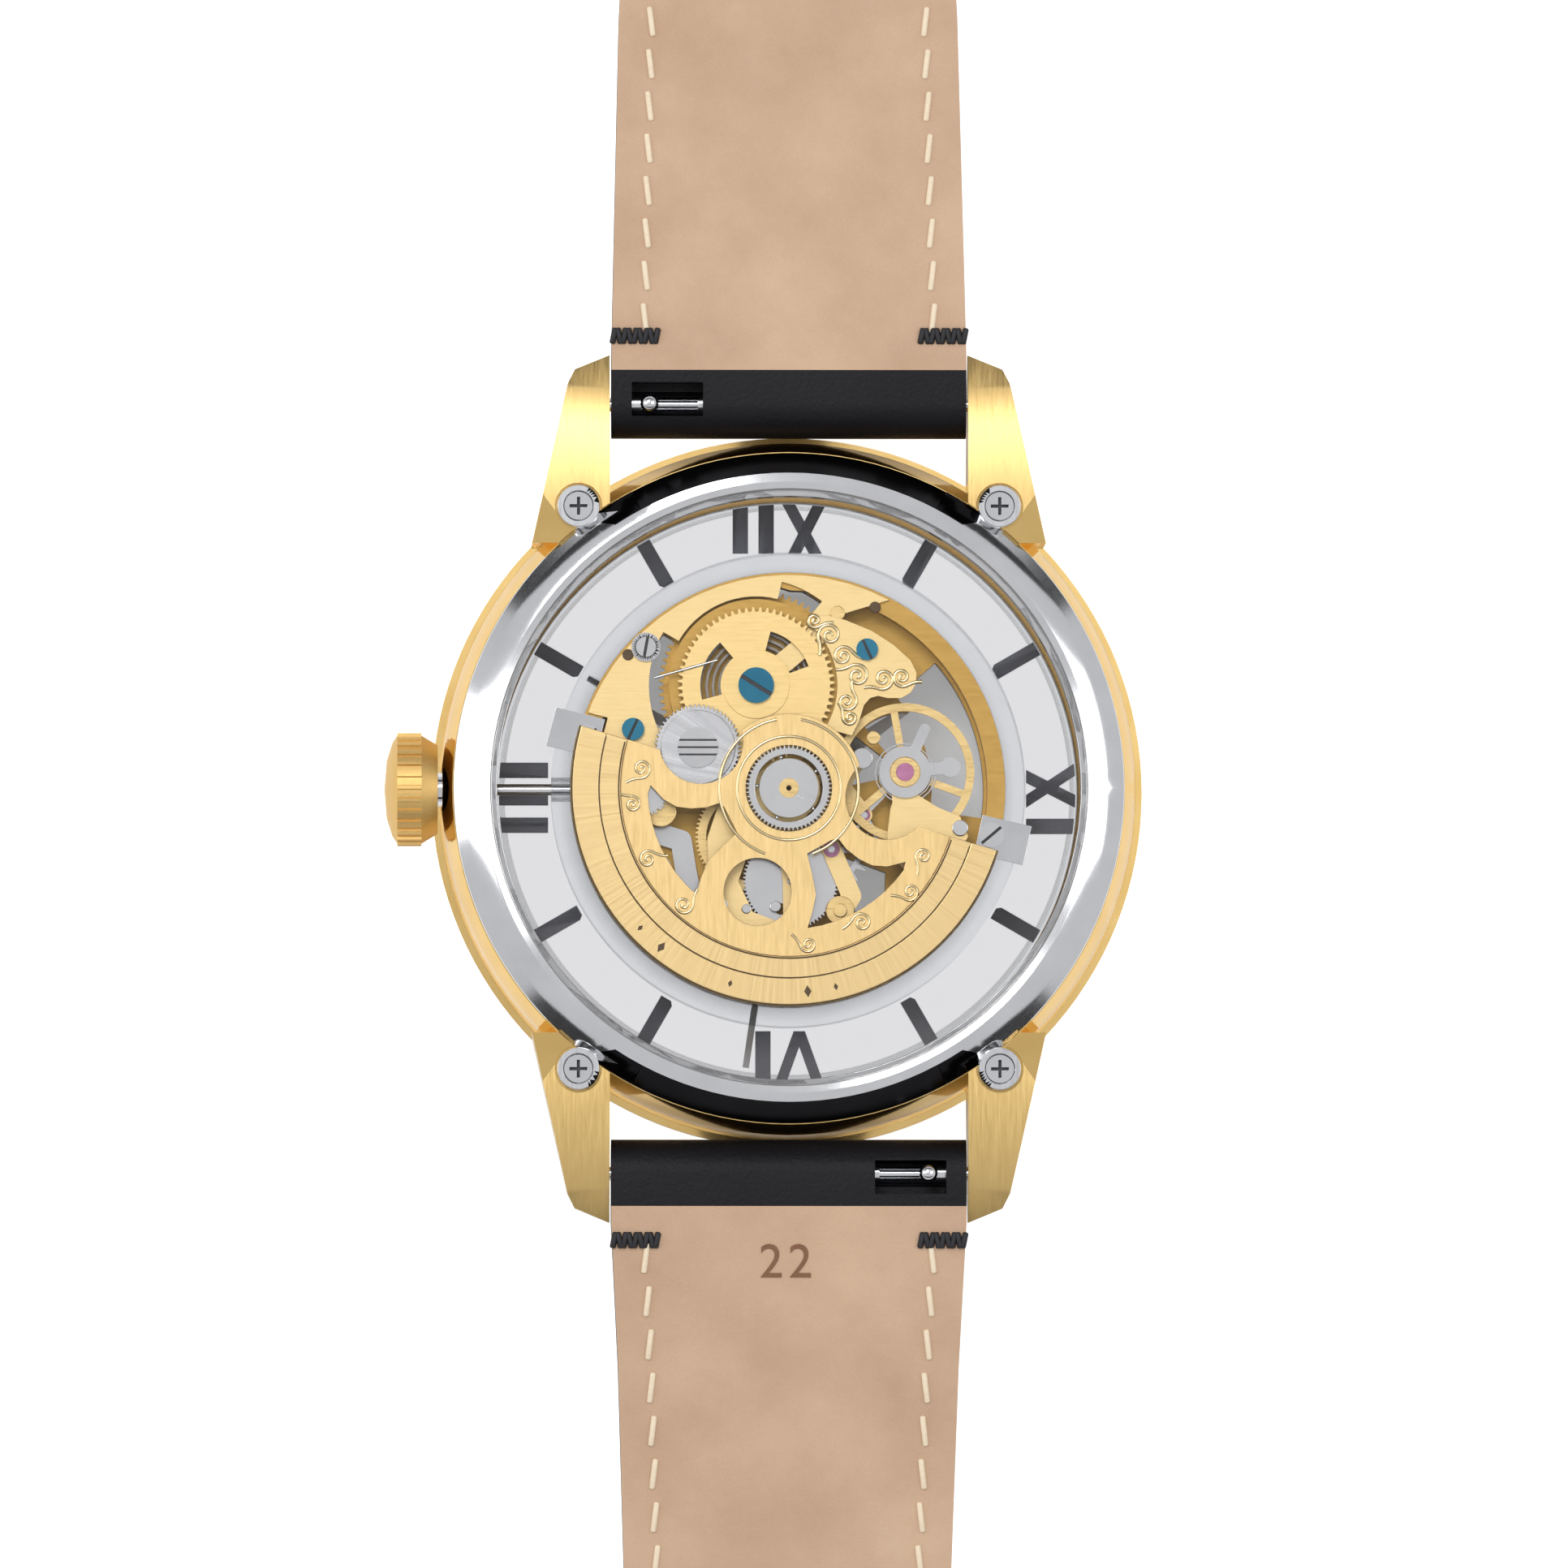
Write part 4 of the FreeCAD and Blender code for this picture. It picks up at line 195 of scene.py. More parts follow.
def sunray_metal(name, dark, light, roughness, rays):
    """Brushed from the middle outwards: the grain depends on the angle round the centre alone."""
    material, tree, shader = new_material(name)
    where = object_millimetres(tree)
    axes = add(tree, "SeparateXYZ", Vector=where)
    angle = add(tree, "Math", {"operation": 'ARCTAN2'}, i0=axes.outputs[1], i1=axes.outputs[0])
    radius = add(tree, "VectorMath", {"operation": 'LENGTH'}, i0=where)
    slow = add(tree, "Math", {"operation": 'MULTIPLY'}, i0=radius.outputs["Value"], i1=0.12)
    spread = add(tree, "Math", {"operation": 'MULTIPLY'}, i0=angle.outputs[0], i1=rays)
    ray = add(tree, "CombineXYZ", X=spread.outputs[0], Y=slow.outputs[0])
    grain = add(tree, "TexNoise", Vector=ray.outputs[0], Scale=1.0, Detail=5.0, Roughness=0.75)
    tree.links.new(mixed_colours(tree, grain.outputs[0], dark, light), shader.inputs["Base Color"])
    rough = add(tree, "MapRange", i0=grain.outputs[0], i1=0.3, i2=0.7, i3=roughness, i4=roughness + 0.12)
    tree.links.new(rough.outputs[0], shader.inputs["Roughness"])
    shader.inputs["Metallic"].default_value = 1.0
    bumped(tree, shader, grain.outputs[0], 0.012 * MM, 0.5)
    return material


def clear_pane(name, tint, gloss):
    """Flat glass seen square on: nearly all light goes straight through, a little is mirrored."""
    material = bpy.data.materials.new(name)
    material.use_nodes = True
    tree = material.node_tree
    tree.nodes.clear()
    through = add(tree, "BsdfTransparent", Color=linear(tint))
    where = object_millimetres(tree)
    smear = add(tree, "TexNoise", Vector=where, Scale=0.2, Detail=2.0)
    rough = add(tree, "MapRange", i0=smear.outputs[0], i3=0.01, i4=0.05)
    mirror = add(tree, "BsdfGlossy", Roughness=rough.outputs[0])
    edge = add(tree, "Fresnel", IOR=1.45)
    share = add(tree, "Math", {"operation": 'MULTIPLY'}, i0=edge.outputs[0], i1=gloss)
    both = add(tree, "MixShader", i0=share.outputs[0], i1=through.outputs[0], i2=mirror.outputs[0])
    out = add(tree, "OutputMaterial")
    tree.links.new(both.outputs[0], out.inputs[0])
    return material


def leather(name, dark, light, pore, roughness, depth):
    """Hide: cells of pores over slow colour change, with the sheen of a waxed or sueded face."""
    material, tree, shader = new_material(name)
    where = object_millimetres(tree)
    tone = add(tree, "TexNoise", Vector=where, Scale=0.12, Detail=6.0, Roughness=0.6)
    cells = add(tree, "TexVoronoi", Vector=where, Scale=pore)
    fibre = add(tree, "TexNoise", Vector=where, Scale=pore * 2.5, Detail=4.0)
    grain = add(tree, "Math", {"operation": 'MULTIPLY_ADD'}, i0=cells.outputs[0], i1=0.7, i2=fibre.outputs[0])
    shade = add(tree, "Math", {"operation": 'MULTIPLY_ADD'}, i0=fibre.outputs[0], i1=0.35, i2=tone.outputs[0])
    centred = add(tree, "MapRange", i0=shade.outputs[0], i1=0.4, i2=0.95)
    tree.links.new(mixed_colours(tree, centred.outputs[0], dark, light), shader.inputs["Base Color"])
    shader.inputs["Roughness"].default_value = roughness
    shader.inputs["Specular IOR Level"].default_value = 0.22
    bumped(tree, shader, grain.outputs[0], depth * MM, 0.5)
    return material


def soft_paint(name, dark, light, roughness):
    """Cured lacquer or thread wax: one colour with the slight mottle of a sprayed coat."""
    material, tree, shader = new_material(name)
    mottle = add(tree, "TexNoise", Vector=object_millimetres(tree), Scale=4.0, Detail=3.0)
    tree.links.new(mixed_colours(tree, mottle.outputs[0], dark, light), shader.inputs["Base Color"])
    shader.inputs["Roughness"].default_value = roughness
    bumped(tree, shader, mottle.outputs[0], 0.01 * MM, 0.4)
    return material


def ruby_stone(name):
    """Synthetic ruby: pink body colour under a glassy face."""
    material, tree, shader = new_material(name)
    glow = add(tree, "TexNoise", Vector=object_millimetres(tree), Scale=2.0, Detail=2.0)
    tree.links.new(mixed_colours(tree, glow.outputs[0], "#A8557F", "#D893C0"), shader.inputs["Base Color"])
    shader.inputs["Roughness"].default_value = 0.08
    shader.inputs["IOR"].default_value = 1.76
    return material


def moulded_clear(name):
    """Acrylic ring: mostly see-through, with bright moulded edges."""
    material = bpy.data.materials.new(name)
    material.use_nodes = True
    tree = material.node_tree
    tree.nodes.clear()
    ripple = add(tree, "TexNoise", Vector=object_millimetres(tree), Scale=0.8, Detail=2.0)
    bump = add(tree, "Bump", Height=ripple.outputs[0], Distance=0.03 * MM)
    through = add(tree, "BsdfTransparent", Color=linear("#F6F7F8"))
    body = add(tree, "BsdfPrincipled", Base_Color=linear("#F4F5F7"), Roughness=0.06, IOR=1.49,
               Transmission_Weight=1.0, Normal=bump.outputs[0])
    both = add(tree, "MixShader", i0=0.3, i1=through.outputs[0], i2=body.outputs[0])
    out = add(tree, "OutputMaterial")
    tree.links.new(both.outputs[0], out.inputs[0])
    return material


MATERIALS = {}


def make_materials():
    MATERIALS.update({
        "gold_plate": polished_metal("gold_plated_steel", "#DDB66C", "#F0CF8C", 0.09),
        "brushed_lug": brushed_metal("brushed_gold_plate", "#D9B36C", "#F0D292", 0.26, (6.0, 0.3, 1.0), 1.2),
        "polished_steel": polished_metal("polished_stainless", "#D3D4D7", "#EAEBED", 0.09),
        "brushed_gold": sunray_metal("sunray_brushed_brass", "#DDB97A", "#F8DFA8", 0.26, 60.0),
        "rotor_face": brushed_metal("straight_grained_brass", "#E0BC7C", "#F6DA9F", 0.28, (5.0, 0.35, 1.0), 1.3),
        "movement_gold": brushed_metal("gilt_brass", "#DDBA78", "#F2D79C", 0.24, (0.5, 3.5, 1.0), 1.6),
        "movement_steel": polished_metal("polished_movement_steel", "#D2D3D6", "#EFEFF0", 0.14),
        "blued_steel": polished_metal("heat_blued_steel", "#1F6C8C", "#4FA5C4", 0.14),
        "ruby": ruby_stone("synthetic_ruby"),
        "mineral_glass": clear_pane("mineral_glass", "#FEFEFE", 0.45),
        "clear_plastic": moulded_clear("moulded_acrylic"),
        "clear_dial": clear_pane("clear_acrylic_dial", "#FBFBFC", 0.5),
        "marker_grey": soft_paint("grey_marker_backs", "#666973", "#72757F", 0.5),
        "hand_white": soft_paint("white_hand_lacquer", "#F2F2F2", "#FBFBFB", 0.4),
        "gasket": soft_paint("black_nitrile", "#141416", "#1E1E20", 0.55),
        "black_leather": leather("black_calf", "#08070B", "#131218", 3.2, 0.5, 0.05),
        "tan_lining": leather("tan_nubuck", "#B4947A", "#CBAE93", 5.0, 0.72, 0.03),
        "edge_paint": soft_paint("black_edge_paint", "#100F12", "#19181B", 0.35),
        "cream_thread": soft_paint("cream_thread", "#DCC9AC", "#EFE0C6", 0.7),
        "black_thread": soft_paint("black_thread", "#0E0D10", "#201E24", 0.6),
        "scroll_gold": polished_metal("pressed_gilt_line", "#F3DCA6", "#FBEBC0", 0.14),
        "stamp_brown": soft_paint("stamped_brown", "#6E4A31", "#845C40", 0.7),
        # painted shade: near-black brown for grooves, engraved marks and holes
        "shadow_line": soft_paint("groove_painted_shade", "#4A3412", "#5C4219", 0.5),
        "ring_brushed": brushed_metal("brushed_stainless", "#A4A5A8", "#C0C1C3", 0.3, (5.0, 0.3, 1.0), 1.4),
        # painted shade: a darker gilt for the low main plate and barrel, standing in for the shade deep in the movement
        "gilt_painted_depth_shade": brushed_metal("gilt_with_painted_depth_shade", "#B08A45", "#CBA55F", 0.3, (0.4, 3.0, 1.0), 1.5),
        # painted shade: darker gilt for walls that face sideways
        "gilt_in_shade": polished_metal("gilt_wall_painted_shade", "#8A6426", "#A87F3A", 0.2),
        # painted shade: dark grey for screw slots and the crown wheel's sideways faces
        "slot_shade": soft_paint("shaded_slot", "#2B2C30", "#3C3D42", 0.5),
        # painted reflection: near-black polished steel in place of the dark cards mirrored by the back ring
        "painted_dark_reflection_band": polished_metal("steel_painted_dark_reflection", "#1B1A1C", "#262527", 0.12),
        "satin_crown": brushed_metal("bead_blasted_gold", "#D3AC67", "#E6C583", 0.42, (1.0, 1.0, 1.0), 6.0),
        "crown_face": sunray_metal("turned_steel", "#C6C7CA", "#E2E2E4", 0.2, 14.0),
        "plate_top": brushed_metal("grained_gilt_plate", "#DDBF83", "#EFD6A0", 0.34, (0.35, 4.0, 1.0), 1.8),
        "ratchet_face": brushed_metal("grained_ratchet_plate", "#E2C07C", "#F2D79C", 0.3, (0.3, 4.0, 1.0), 1.6),
        "spring_grey": brushed_metal("mainspring_steel", "#7E7873", "#9C9690", 0.35, (1.0, 1.0, 1.0), 3.0),
    })


# ------------------------------------------------------------------ mesh helpers
def finished(mesh_or_bmesh, name, body, material, slot_name=None):
    """Links a piece, gives it its finish and makes it ride on its body."""
    if isinstance(mesh_or_bmesh, bmesh.types.BMesh):
        mesh = bpy.data.meshes.new(name)
        mesh_or_bmesh.to_mesh(mesh)
        mesh_or_bmesh.free()
    else:
        mesh = mesh_or_bmesh
    piece = bpy.data.objects.new(name, mesh)
    bpy.context.scene.collection.objects.link(piece)
    mesh.materials.clear()
    mesh.materials.append(MATERIALS[material])
    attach(piece, body)
    return piece


def smooth_by_angle(mesh, degrees):
    """Smooth faces with sharp edges where the surface turns by more than this."""
    work = bmesh.new()
    work.from_mesh(mesh)
    bmesh.ops.remove_doubles(work, verts=work.verts, dist=0.0005 * MM)
    bmesh.ops.dissolve_degenerate(work, edges=work.edges, dist=0.0002 * MM)
    for face in work.faces:
        face.smooth = True
    for edge in work.edges:
        edge.smooth = len(edge.link_faces) == 2 and edge.calc_face_angle(3.2) < math.radians(degrees)
    work.to_mesh(mesh)
    work.free()


def dressed(node, material, degrees=28, bevel=0.0):
    """A merged, smooth-shaded copy of a CAD node in its finish."""
    mesh = NODES[node].data.copy()
    mesh.name = node + "_skin"
    smooth_by_angle(mesh, degrees)
    piece = finished(mesh, node + "_piece", BODY_OF[node], material, SLOT_OF[node])
    if bevel:
        rounding = piece.modifiers.new("rounding", 'BEVEL')
        rounding.width = bevel * MM
        rounding.segments = 3
        rounding.limit_method = 'ANGLE'
        rounding.angle_limit = math.radians(35)
        rounding.use_clamp_overlap = True
    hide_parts(node)
    return piece


def paint_faces(piece, material, test):
    """Gives a second finish to the faces that pass the test of centre (mm) and normal."""
    mesh = piece.data
    index = len(mesh.materials)
    mesh.materials.append(MATERIALS[material])
    for face in mesh.polygons:
        if test(face.center / MM, face.normal):
            face.material_index = index
    return piece


def loose_shapes(work):
    """Sets of joined faces, each with its low and high corner in mm."""
    left = set(work.faces)
    while left:
        island, front = set(), [left.pop()]
        while front:
            face = front.pop()
            island.add(face)
            for vert in face.verts:
                for other in vert.link_faces:
                    if other in left:
                        left.remove(other)
                        front.append(other)
        places = [vert.co / MM for face in island for vert in face.verts]
        yield (island, Vector([min(place[i] for place in places) for i in range(3)]),
               Vector([max(place[i] for place in places) for i in range(3)]))


def paint_slots(piece, material="slot_shade"):
    """Paints shade into the slot or cross sunk into the head of each screw of a node."""
    mesh = piece.data
    index = len(mesh.materials)
    mesh.materials.append(MATERIALS[material])
    work = bmesh.new()
    work.from_mesh(mesh)
    for island, low, high in loose_shapes(work):
        centre, radius = (low.xy + high.xy) / 2, (high.x - low.x) / 2
        for face in island:
            place = face.calc_center_median() / MM
            reach = (place.xy - centre).length
            if high.z - 0.35 < place.z < high.z - 0.02 and reach < 0.86 * radius:
                face.material_index = index
    work.to_mesh(mesh)
    work.free()


def paint_islands(piece, material, test):
    """Gives a second finish to whole loose shapes of a mesh; the test gets their corners' low and high, in mm."""
    mesh = piece.data
    index = len(mesh.materials)
    mesh.materials.append(MATERIALS[material])
    work = bmesh.new()
    work.from_mesh(mesh)
    for island, low, high in loose_shapes(work):
        if test(low, high):
            for face in island:
                face.material_index = index
    work.to_mesh(mesh)
    work.free()
    return piece


def bead_curve(name, paths, width, body, material, resolution=2):
    """Round beads along 3-D paths in millimetres, made a mesh."""
    curve = bpy.data.curves.new(name, 'CURVE')
    curve.dimensions = '3D'
    curve.bevel_depth = width / 2
    curve.bevel_resolution = resolution
    curve.use_fill_caps = True
    for path in paths:
        spline = curve.splines.new('POLY')
        spline.points.add(len(path) - 1)
        for point, place in zip(spline.points, path):
            point.co = (place[0] * MM, place[1] * MM, place[2] * MM, 1.0)
    holder = bpy.data.objects.new(name + "_curve", curve)
    bpy.context.scene.collection.objects.link(holder)
    bpy.context.view_layer.update()
    mesh = bpy.data.meshes.new_from_object(holder.evaluated_get(bpy.context.evaluated_depsgraph_get()))
    bpy.data.objects.remove(holder)
    for face in mesh.polygons:
        face.use_smooth = True
    return finished(mesh, name, body, material)


def polar(radius, degrees, centre=(0.0, 0.0)):
    return (centre[0] + radius * math.cos(math.radians(degrees)),
            centre[1] + radius * math.sin(math.radians(degrees)))


def arc(radius, start, end, z, centre=(0.0, 0.0), step=3.0):
    count = max(2, int(abs(end - start) / step))
    return [(*polar(radius, start + (end - start) * i / count, centre), z) for i in range(count + 1)]


def scroll(centre, radius, start, turn, z, turns=1.6, tail=1.0):
    """Spiral with a tail that leaves its rim; turn is +1 or -1."""
    count = 34
    path = []
    for i in range(count + 1):
        share = i / count
        path.append((*polar(radius * (0.12 + 0.88 * share), start + turn * 360 * turns * (share - 1), centre), z))
    heading = start + turn * 90
    for i in range(1, 9):
        reach = tail * i / 8
        swing = heading - turn * 34 * (i / 8) ** 1.5
        path.append((path[-1][0] + tail / 8 * math.cos(math.radians(swing)),
                     path[-1][1] + tail / 8 * math.sin(math.radians(swing)), z))
    return path


class Surface:
    """Finds the face of a CAD node at a plan position."""

    def __init__(self, node):
        mesh = NODES[node].data
        self.tree = BVHTree.FromPolygons([v.co for v in mesh.vertices], [p.vertices for p in mesh.polygons])

    def height(self, x, y):
        hit = self.tree.ray_cast(Vector((x, y, 0.05)), Vector((0, 0, -1)))
        return hit[0].z if hit[0] else None

    def half_width(self, y):
        """Outer edge of a strap layer, met from the side just under its face."""
        top = self.height(6.0 * MM, y)
        hit = self.tree.ray_cast(Vector((0.05, y, top - 0.25 * MM)), Vector((-1, 0, 0))) if top else (None,)
        return hit[0].x if hit[0] else 6.0 * MM


# ------------------------------------------------------------------ small pieces
def rods(work, ends, radius, sides=7):
    """Round-ended short rods between pairs of points, for stitches and pins."""
    for start, end in ends:
        start, end = Vector(start), Vector(end)
        along = end - start
        turn = along.to_track_quat('Z', 'X').to_matrix().to_4x4()
        middle = Matrix.Translation((start + end) / 2) @ turn
        made = bmesh.ops.create_cone(work, cap_ends=True, segments=sides, radius1=radius, radius2=radius,
                                     depth=along.length, matrix=middle)
        caps = [e for v in made["verts"] for e in v.link_edges if len({round((middle.inverted() @ w.co).z, 7)
                                                                      for w in e.verts}) == 1]
        bmesh.ops.bevel(work, geom=list(set(caps)), offset=radius * 0.55, segments=2, affect='EDGES', profile=0.5,
                        material=-1)


def shaded(work):
    for face in work.faces:
        face.smooth = True
    return work


class WATCH_OT_sewing(bpy.types.Operator):
    """Cream stitches along the lining, black bar tacks and the stamped width"""
    bl_idname = "watch.sewing"
    bl_label = "Sewing"

    def execute(self, context):
        sizes = context.scene.watch_sizes
        for body, node, sign in (("strap_top", "strap_top_lining", 1), ("strap_lower", "strap_lower_lining", -1)):
            face = Surface(node)
            low, high = sorted(abs(v.y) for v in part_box(node))
            stitches = bmesh.new()
            y = low + 3.2 * MM
            while y < high - 3.0 * MM:
                for side in (-1, 1):
                    x = side * (face.half_width(sign * y) - sizes.stitch_inset)
                    ends = []
                    for reach, slant in ((-0.5, -0.11 * MM), (0.5, 0.11 * MM)):
                        place = (x + side * sign * slant, sign * y + reach * sizes.stitch_length)
                        z = face.height(*place)
                        if z is not None:
                            ends.append((place[0], place[1], z + 0.03 * MM))
                    if len(ends) == 2:
                        rods(stitches, [ends], sizes.thread / 2)
                y += sizes.stitch_pitch
            finished(shaded(stitches), body + "_stitches", body, "cream_thread")

            tacks = bmesh.new()
            y = sign * (low + 2.1 * MM)
            for side in (-1, 1):
                outer = face.half_width(y)
                turns = []
                for i in range(sizes.tack_turns):
                    x = side * (outer - 0.1 * MM - i * 0.33 * MM)
                    z = face.height(x, y)
                    if z is not None:
                        lean = 0.1 * MM * (-1) ** i
                        turns.append(((x - lean, y - 0.5 * MM, z + 0.08 * MM), (x + lean, y + 0.5 * MM, z + 0.08 * MM)))
                rods(tacks, turns, 0.2 * MM)
            finished(shaded(tacks), body + "_bar_tacks", body, "black_thread")

        low, high = sorted(abs(v.y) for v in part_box("strap_lower_lining"))
        font = bpy.data.curves.new("width_mark", 'FONT')
        font.body = "22"
        font.size = 3.0 * MM
        font.space_character = 1.2
        font.align_x = 'CENTER'
        font.align_y = 'CENTER'
        font.extrude = 0.02 * MM
        holder = bpy.data.objects.new("width_mark_text", font)
        context.scene.collection.objects.link(holder)
        context.view_layer.update()
        mesh = bpy.data.meshes.new_from_object(holder.evaluated_get(context.evaluated_depsgraph_get()))
        bpy.data.objects.remove(holder)
        y = -(low + 3.5 * MM)
        face = Surface("strap_lower_lining")
        near, far = face.height(0.0, y + MM), face.height(0.0, y - MM)
        mesh.transform(Matrix.Translation((-0.2 * MM, y, (near + far) / 2 + 0.03 * MM))
                       @ Matrix.Rotation(math.atan2(near - far, 2 * MM), 4, 'X'))
        finished(mesh, "width_mark", "strap_lower", "stamp_brown")
        return {'FINISHED'}


class WATCH_OT_scrolls(bpy.types.Operator):
    """Pressed scrolls, lines and lozenges on the rotor and the scroll bridge"""
    bl_idname = "watch.scrolls"
    bl_label = "Scrolls and lines"

    def execute(self, context):
        bead = context.scene.watch_sizes.bead
        top = BRIDGE_TOP / MM - 0.02
        bridge = [scroll(centre, radius, start, turn, top) for centre, radius, start, turn in (
            ((2.54, 9.5), 0.75, 200, 1), ((3.36, 8.2), 0.62, 40, -1), ((4.24, 7.0), 0.72, 120, 1),
            ((5.85, 6.8), 0.66, 250, -1), ((7.0, 6.9), 0.6, 300, 1), ((3.6, 5.4), 0.62, 30, 1),
            ((3.8, 4.4), 0.45, 180, -1), ((1.6, 10.4), 0.45, 300, 1))]
        bead_curve("bridge_scrolls", bridge, bead, "case", "scroll_gold")

        plate_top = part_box("rotor_plate")[1].z / MM - 0.02
        rotor = [scroll(centre, radius, start, turn, plate_top) for centre, radius, start, turn in (
            ((-9.65, -1.0), 0.5, 90, 1), ((-8.7, -4.4), 0.55, 60, -1), ((-6.5, -7.2), 0.6, 0, 1),
            ((1.2, -9.65), 0.5, 200, -1), ((4.5, -8.3), 0.6, 150, 1), ((7.5, -6.4), 0.55, 240, -1),
            ((8.3, -4.2), 0.5, 200, 1), ((-9.1, 1.2), 0.6, 270, -1))]
        rotor.append(arc(4.3, 100, 250, plate_top))
        rotor.append(arc(4.3, 290, 440, plate_top))
        rotor.append(arc(3.2, -30, 330, plate_top))
        bead_curve("rotor_scrolls", rotor, bead * 0.8, "rotor", "scroll_gold")

        # Painted shade: the thin dark lines along the rotor rim and the dark lozenges stand in for the shade in its
        # steps and engraved marks.
        ends = (163.3, -16.7)
        rim = ROTOR_TOP / MM
        lines = [arc(radius, ends[1] - 1, ends[0] - 360 + 1, rim - 0.04) for radius in (10.5, 11.72, 13.38)]
        bead_curve("rotor_lines", lines, 0.09 * MM, "rotor", "shadow_line")

        lozenges = bmesh.new()
        for angle in (-120, -112, -90, -68, -60):
            x, y = polar(12.6, angle + ROTOR_LEAN)
            size = 0.42 if angle in (-112, -68) else 0.26
            turn = Matrix.Translation((x * MM, y * MM, ROTOR_TOP)) @ Matrix.Rotation(
                math.radians(angle + ROTOR_LEAN), 4, 'Z') @ Matrix.Diagonal((1.0, 0.6, 0.12, 1.0))
            bmesh.ops.create_cone(lozenges, cap_ends=True, segments=4, radius1=size * MM, radius2=size * 0.8 * MM,
                                  depth=0.25 * MM, matrix=turn)
        finished(lozenges, "rotor_lozenges", "rotor", "shadow_line")
        return {'FINISHED'}


class WATCH_OT_small_parts(bpy.types.Operator):
    """Small pins, screws and discs on the bridges, in gilt, steel and painted shade"""
    bl_idname = "watch.small_parts"
    bl_label = "Small parts"

    def execute(self, context):
        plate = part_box("balance_cock")[1].z / MM
        gold, steel, dark = bmesh.new(), bmesh.new(), bmesh.new()
        # The two dark discs are painted shade of holes in the plate.
        studs = ((gold, 3.03, 10.87, 0.46, -0.1, 0.1), (gold, 5.25, 3.17, 0.42, -0.05, 0.3),
                 (gold, -7.9, -1.35, 1.0, -0.06, 0.05), (steel, 4.57, 1.9, 0.65, -0.05, 0.22),
                 (steel, 10.6, -2.4, 0.5, -0.05, 0.16), (gold, 3.2, -7.5, 0.9, -0.06, 0.02),
                 (gold, 3.2, -7.5, 0.43, 0.0, 0.16), (steel, -0.8, -7.25, 0.36, -0.05, 0.16),
                 (steel, -2.6, -7.4, 0.3, -0.05, 0.1), (dark, -9.9, 8.3, 0.35, -0.2, 0.02),
                 (dark, 5.35, 11.25, 0.35, -0.2, -0.02))
        for work, x, y, radius, below, above in studs:
            low, high = plate + below, plate + above
            place = Matrix.Translation((x * MM, y * MM, (low + high) / 2 * MM))
            made = bmesh.ops.create_cone(work, cap_ends=True, segments=28, radius1=radius * MM, radius2=radius * MM,
                                         depth=(high - low) * MM, matrix=place)
            rim = {e for v in made["verts"] for e in v.link_edges
                   if all(w.co.z > (low + high) / 2 * MM for w in e.verts)}
            bmesh.ops.bevel(work, geom=list(rim), offset=0.05 * MM, segments=2, affect='EDGES', profile=0.5,
                            material=-1)
        finished(gold, "gold_pins", "case", "movement_gold")
        finished(steel, "steel_pins", "case", "movement_steel")
        # Painted shade of holes, as dark discs.
        finished(dark, "painted_shade_discs", "case", "shadow_line")
        return {'FINISHED'}


# ------------------------------------------------------------------ operators
class WATCH_OT_case(bpy.types.Operator):
    """Case middle, bezel, back ring, screws, gaskets and both glasses"""
    bl_idname = "watch.case"
    bl_label = "Case"

    def execute(self, context):
        case = dressed("mid_case", "gold_plate", 24, 0.16)
        paint_faces(case, "brushed_lug", lambda c, n: n.z > 0.6 and abs(c.y) > LUG_FACE_Y and c.z > 9.0)
        dressed("bezel", "gold_plate", 30)
        ring = dressed("case_back_ring", "polished_steel", 24, 0.05)
        paint_faces(ring, "ring_brushed", lambda c, n: n.z > 0.97 and c.xy.length > 19.2)
        # Painted reflection: the ring's outer faces near 12 and 6 o'clock get near-black steel that copies the mirrored
        # dark cards.
        paint_faces(ring, "painted_dark_reflection_band",
                    lambda c, n: c.xy.length > 19.3 and abs(math.degrees(math.atan2(c.x, abs(c.y)))) < 34)
        paint_slots(dressed("case_back_screws", "polished_steel", 24, 0.04))
        dressed("case_gaskets", "gasket")
        dressed("crown_tube", "polished_steel")
        dressed("crown_seal", "gasket")
        dressed("front_crystal", "mineral_glass", 20)
        dressed("case_back_crystal", "mineral_glass", 20)
        return {'FINISHED'}


class WATCH_OT_crown(bpy.types.Operator):
    """Fluted crown and winding works"""
    bl_idname = "watch.crown"
    bl_label = "Crown"

    def execute(self, context):
        dressed("crown", "satin_crown", 30, 0.07)
        for node in ("winding_stem", "winding_pinion", "transfer_wheel"):
            dressed(node, "movement_steel", 24)
        # Painted shade: the crown wheel's sideways faces are darkened.
        paint_faces(dressed("crown_wheel", "crown_face", 24, 0.02), "slot_shade", lambda c, n: n.z < 0.4)
        return {'FINISHED'}


class WATCH_OT_dial(bpy.types.Operator):
    """Clear dial ring, markers, flange ring and hands seen from behind"""
    bl_idname = "watch.dial"
    bl_label = "Dial and hands"

    def execute(self, context):
        dressed("dial", "clear_dial", 20)
        dressed("flange_ring", "clear_plastic", 24)
        dressed("hour_markers", "marker_grey", 24)
        for node in ("minute_hand", "hour_hand", "seconds_hand"):
            dressed(node, "hand_white", 24)
        for node in ("cannon_pinion", "minute_wheel", "hour_wheel"):
            dressed(node, "movement_gold", 24)
        return {'FINISHED'}


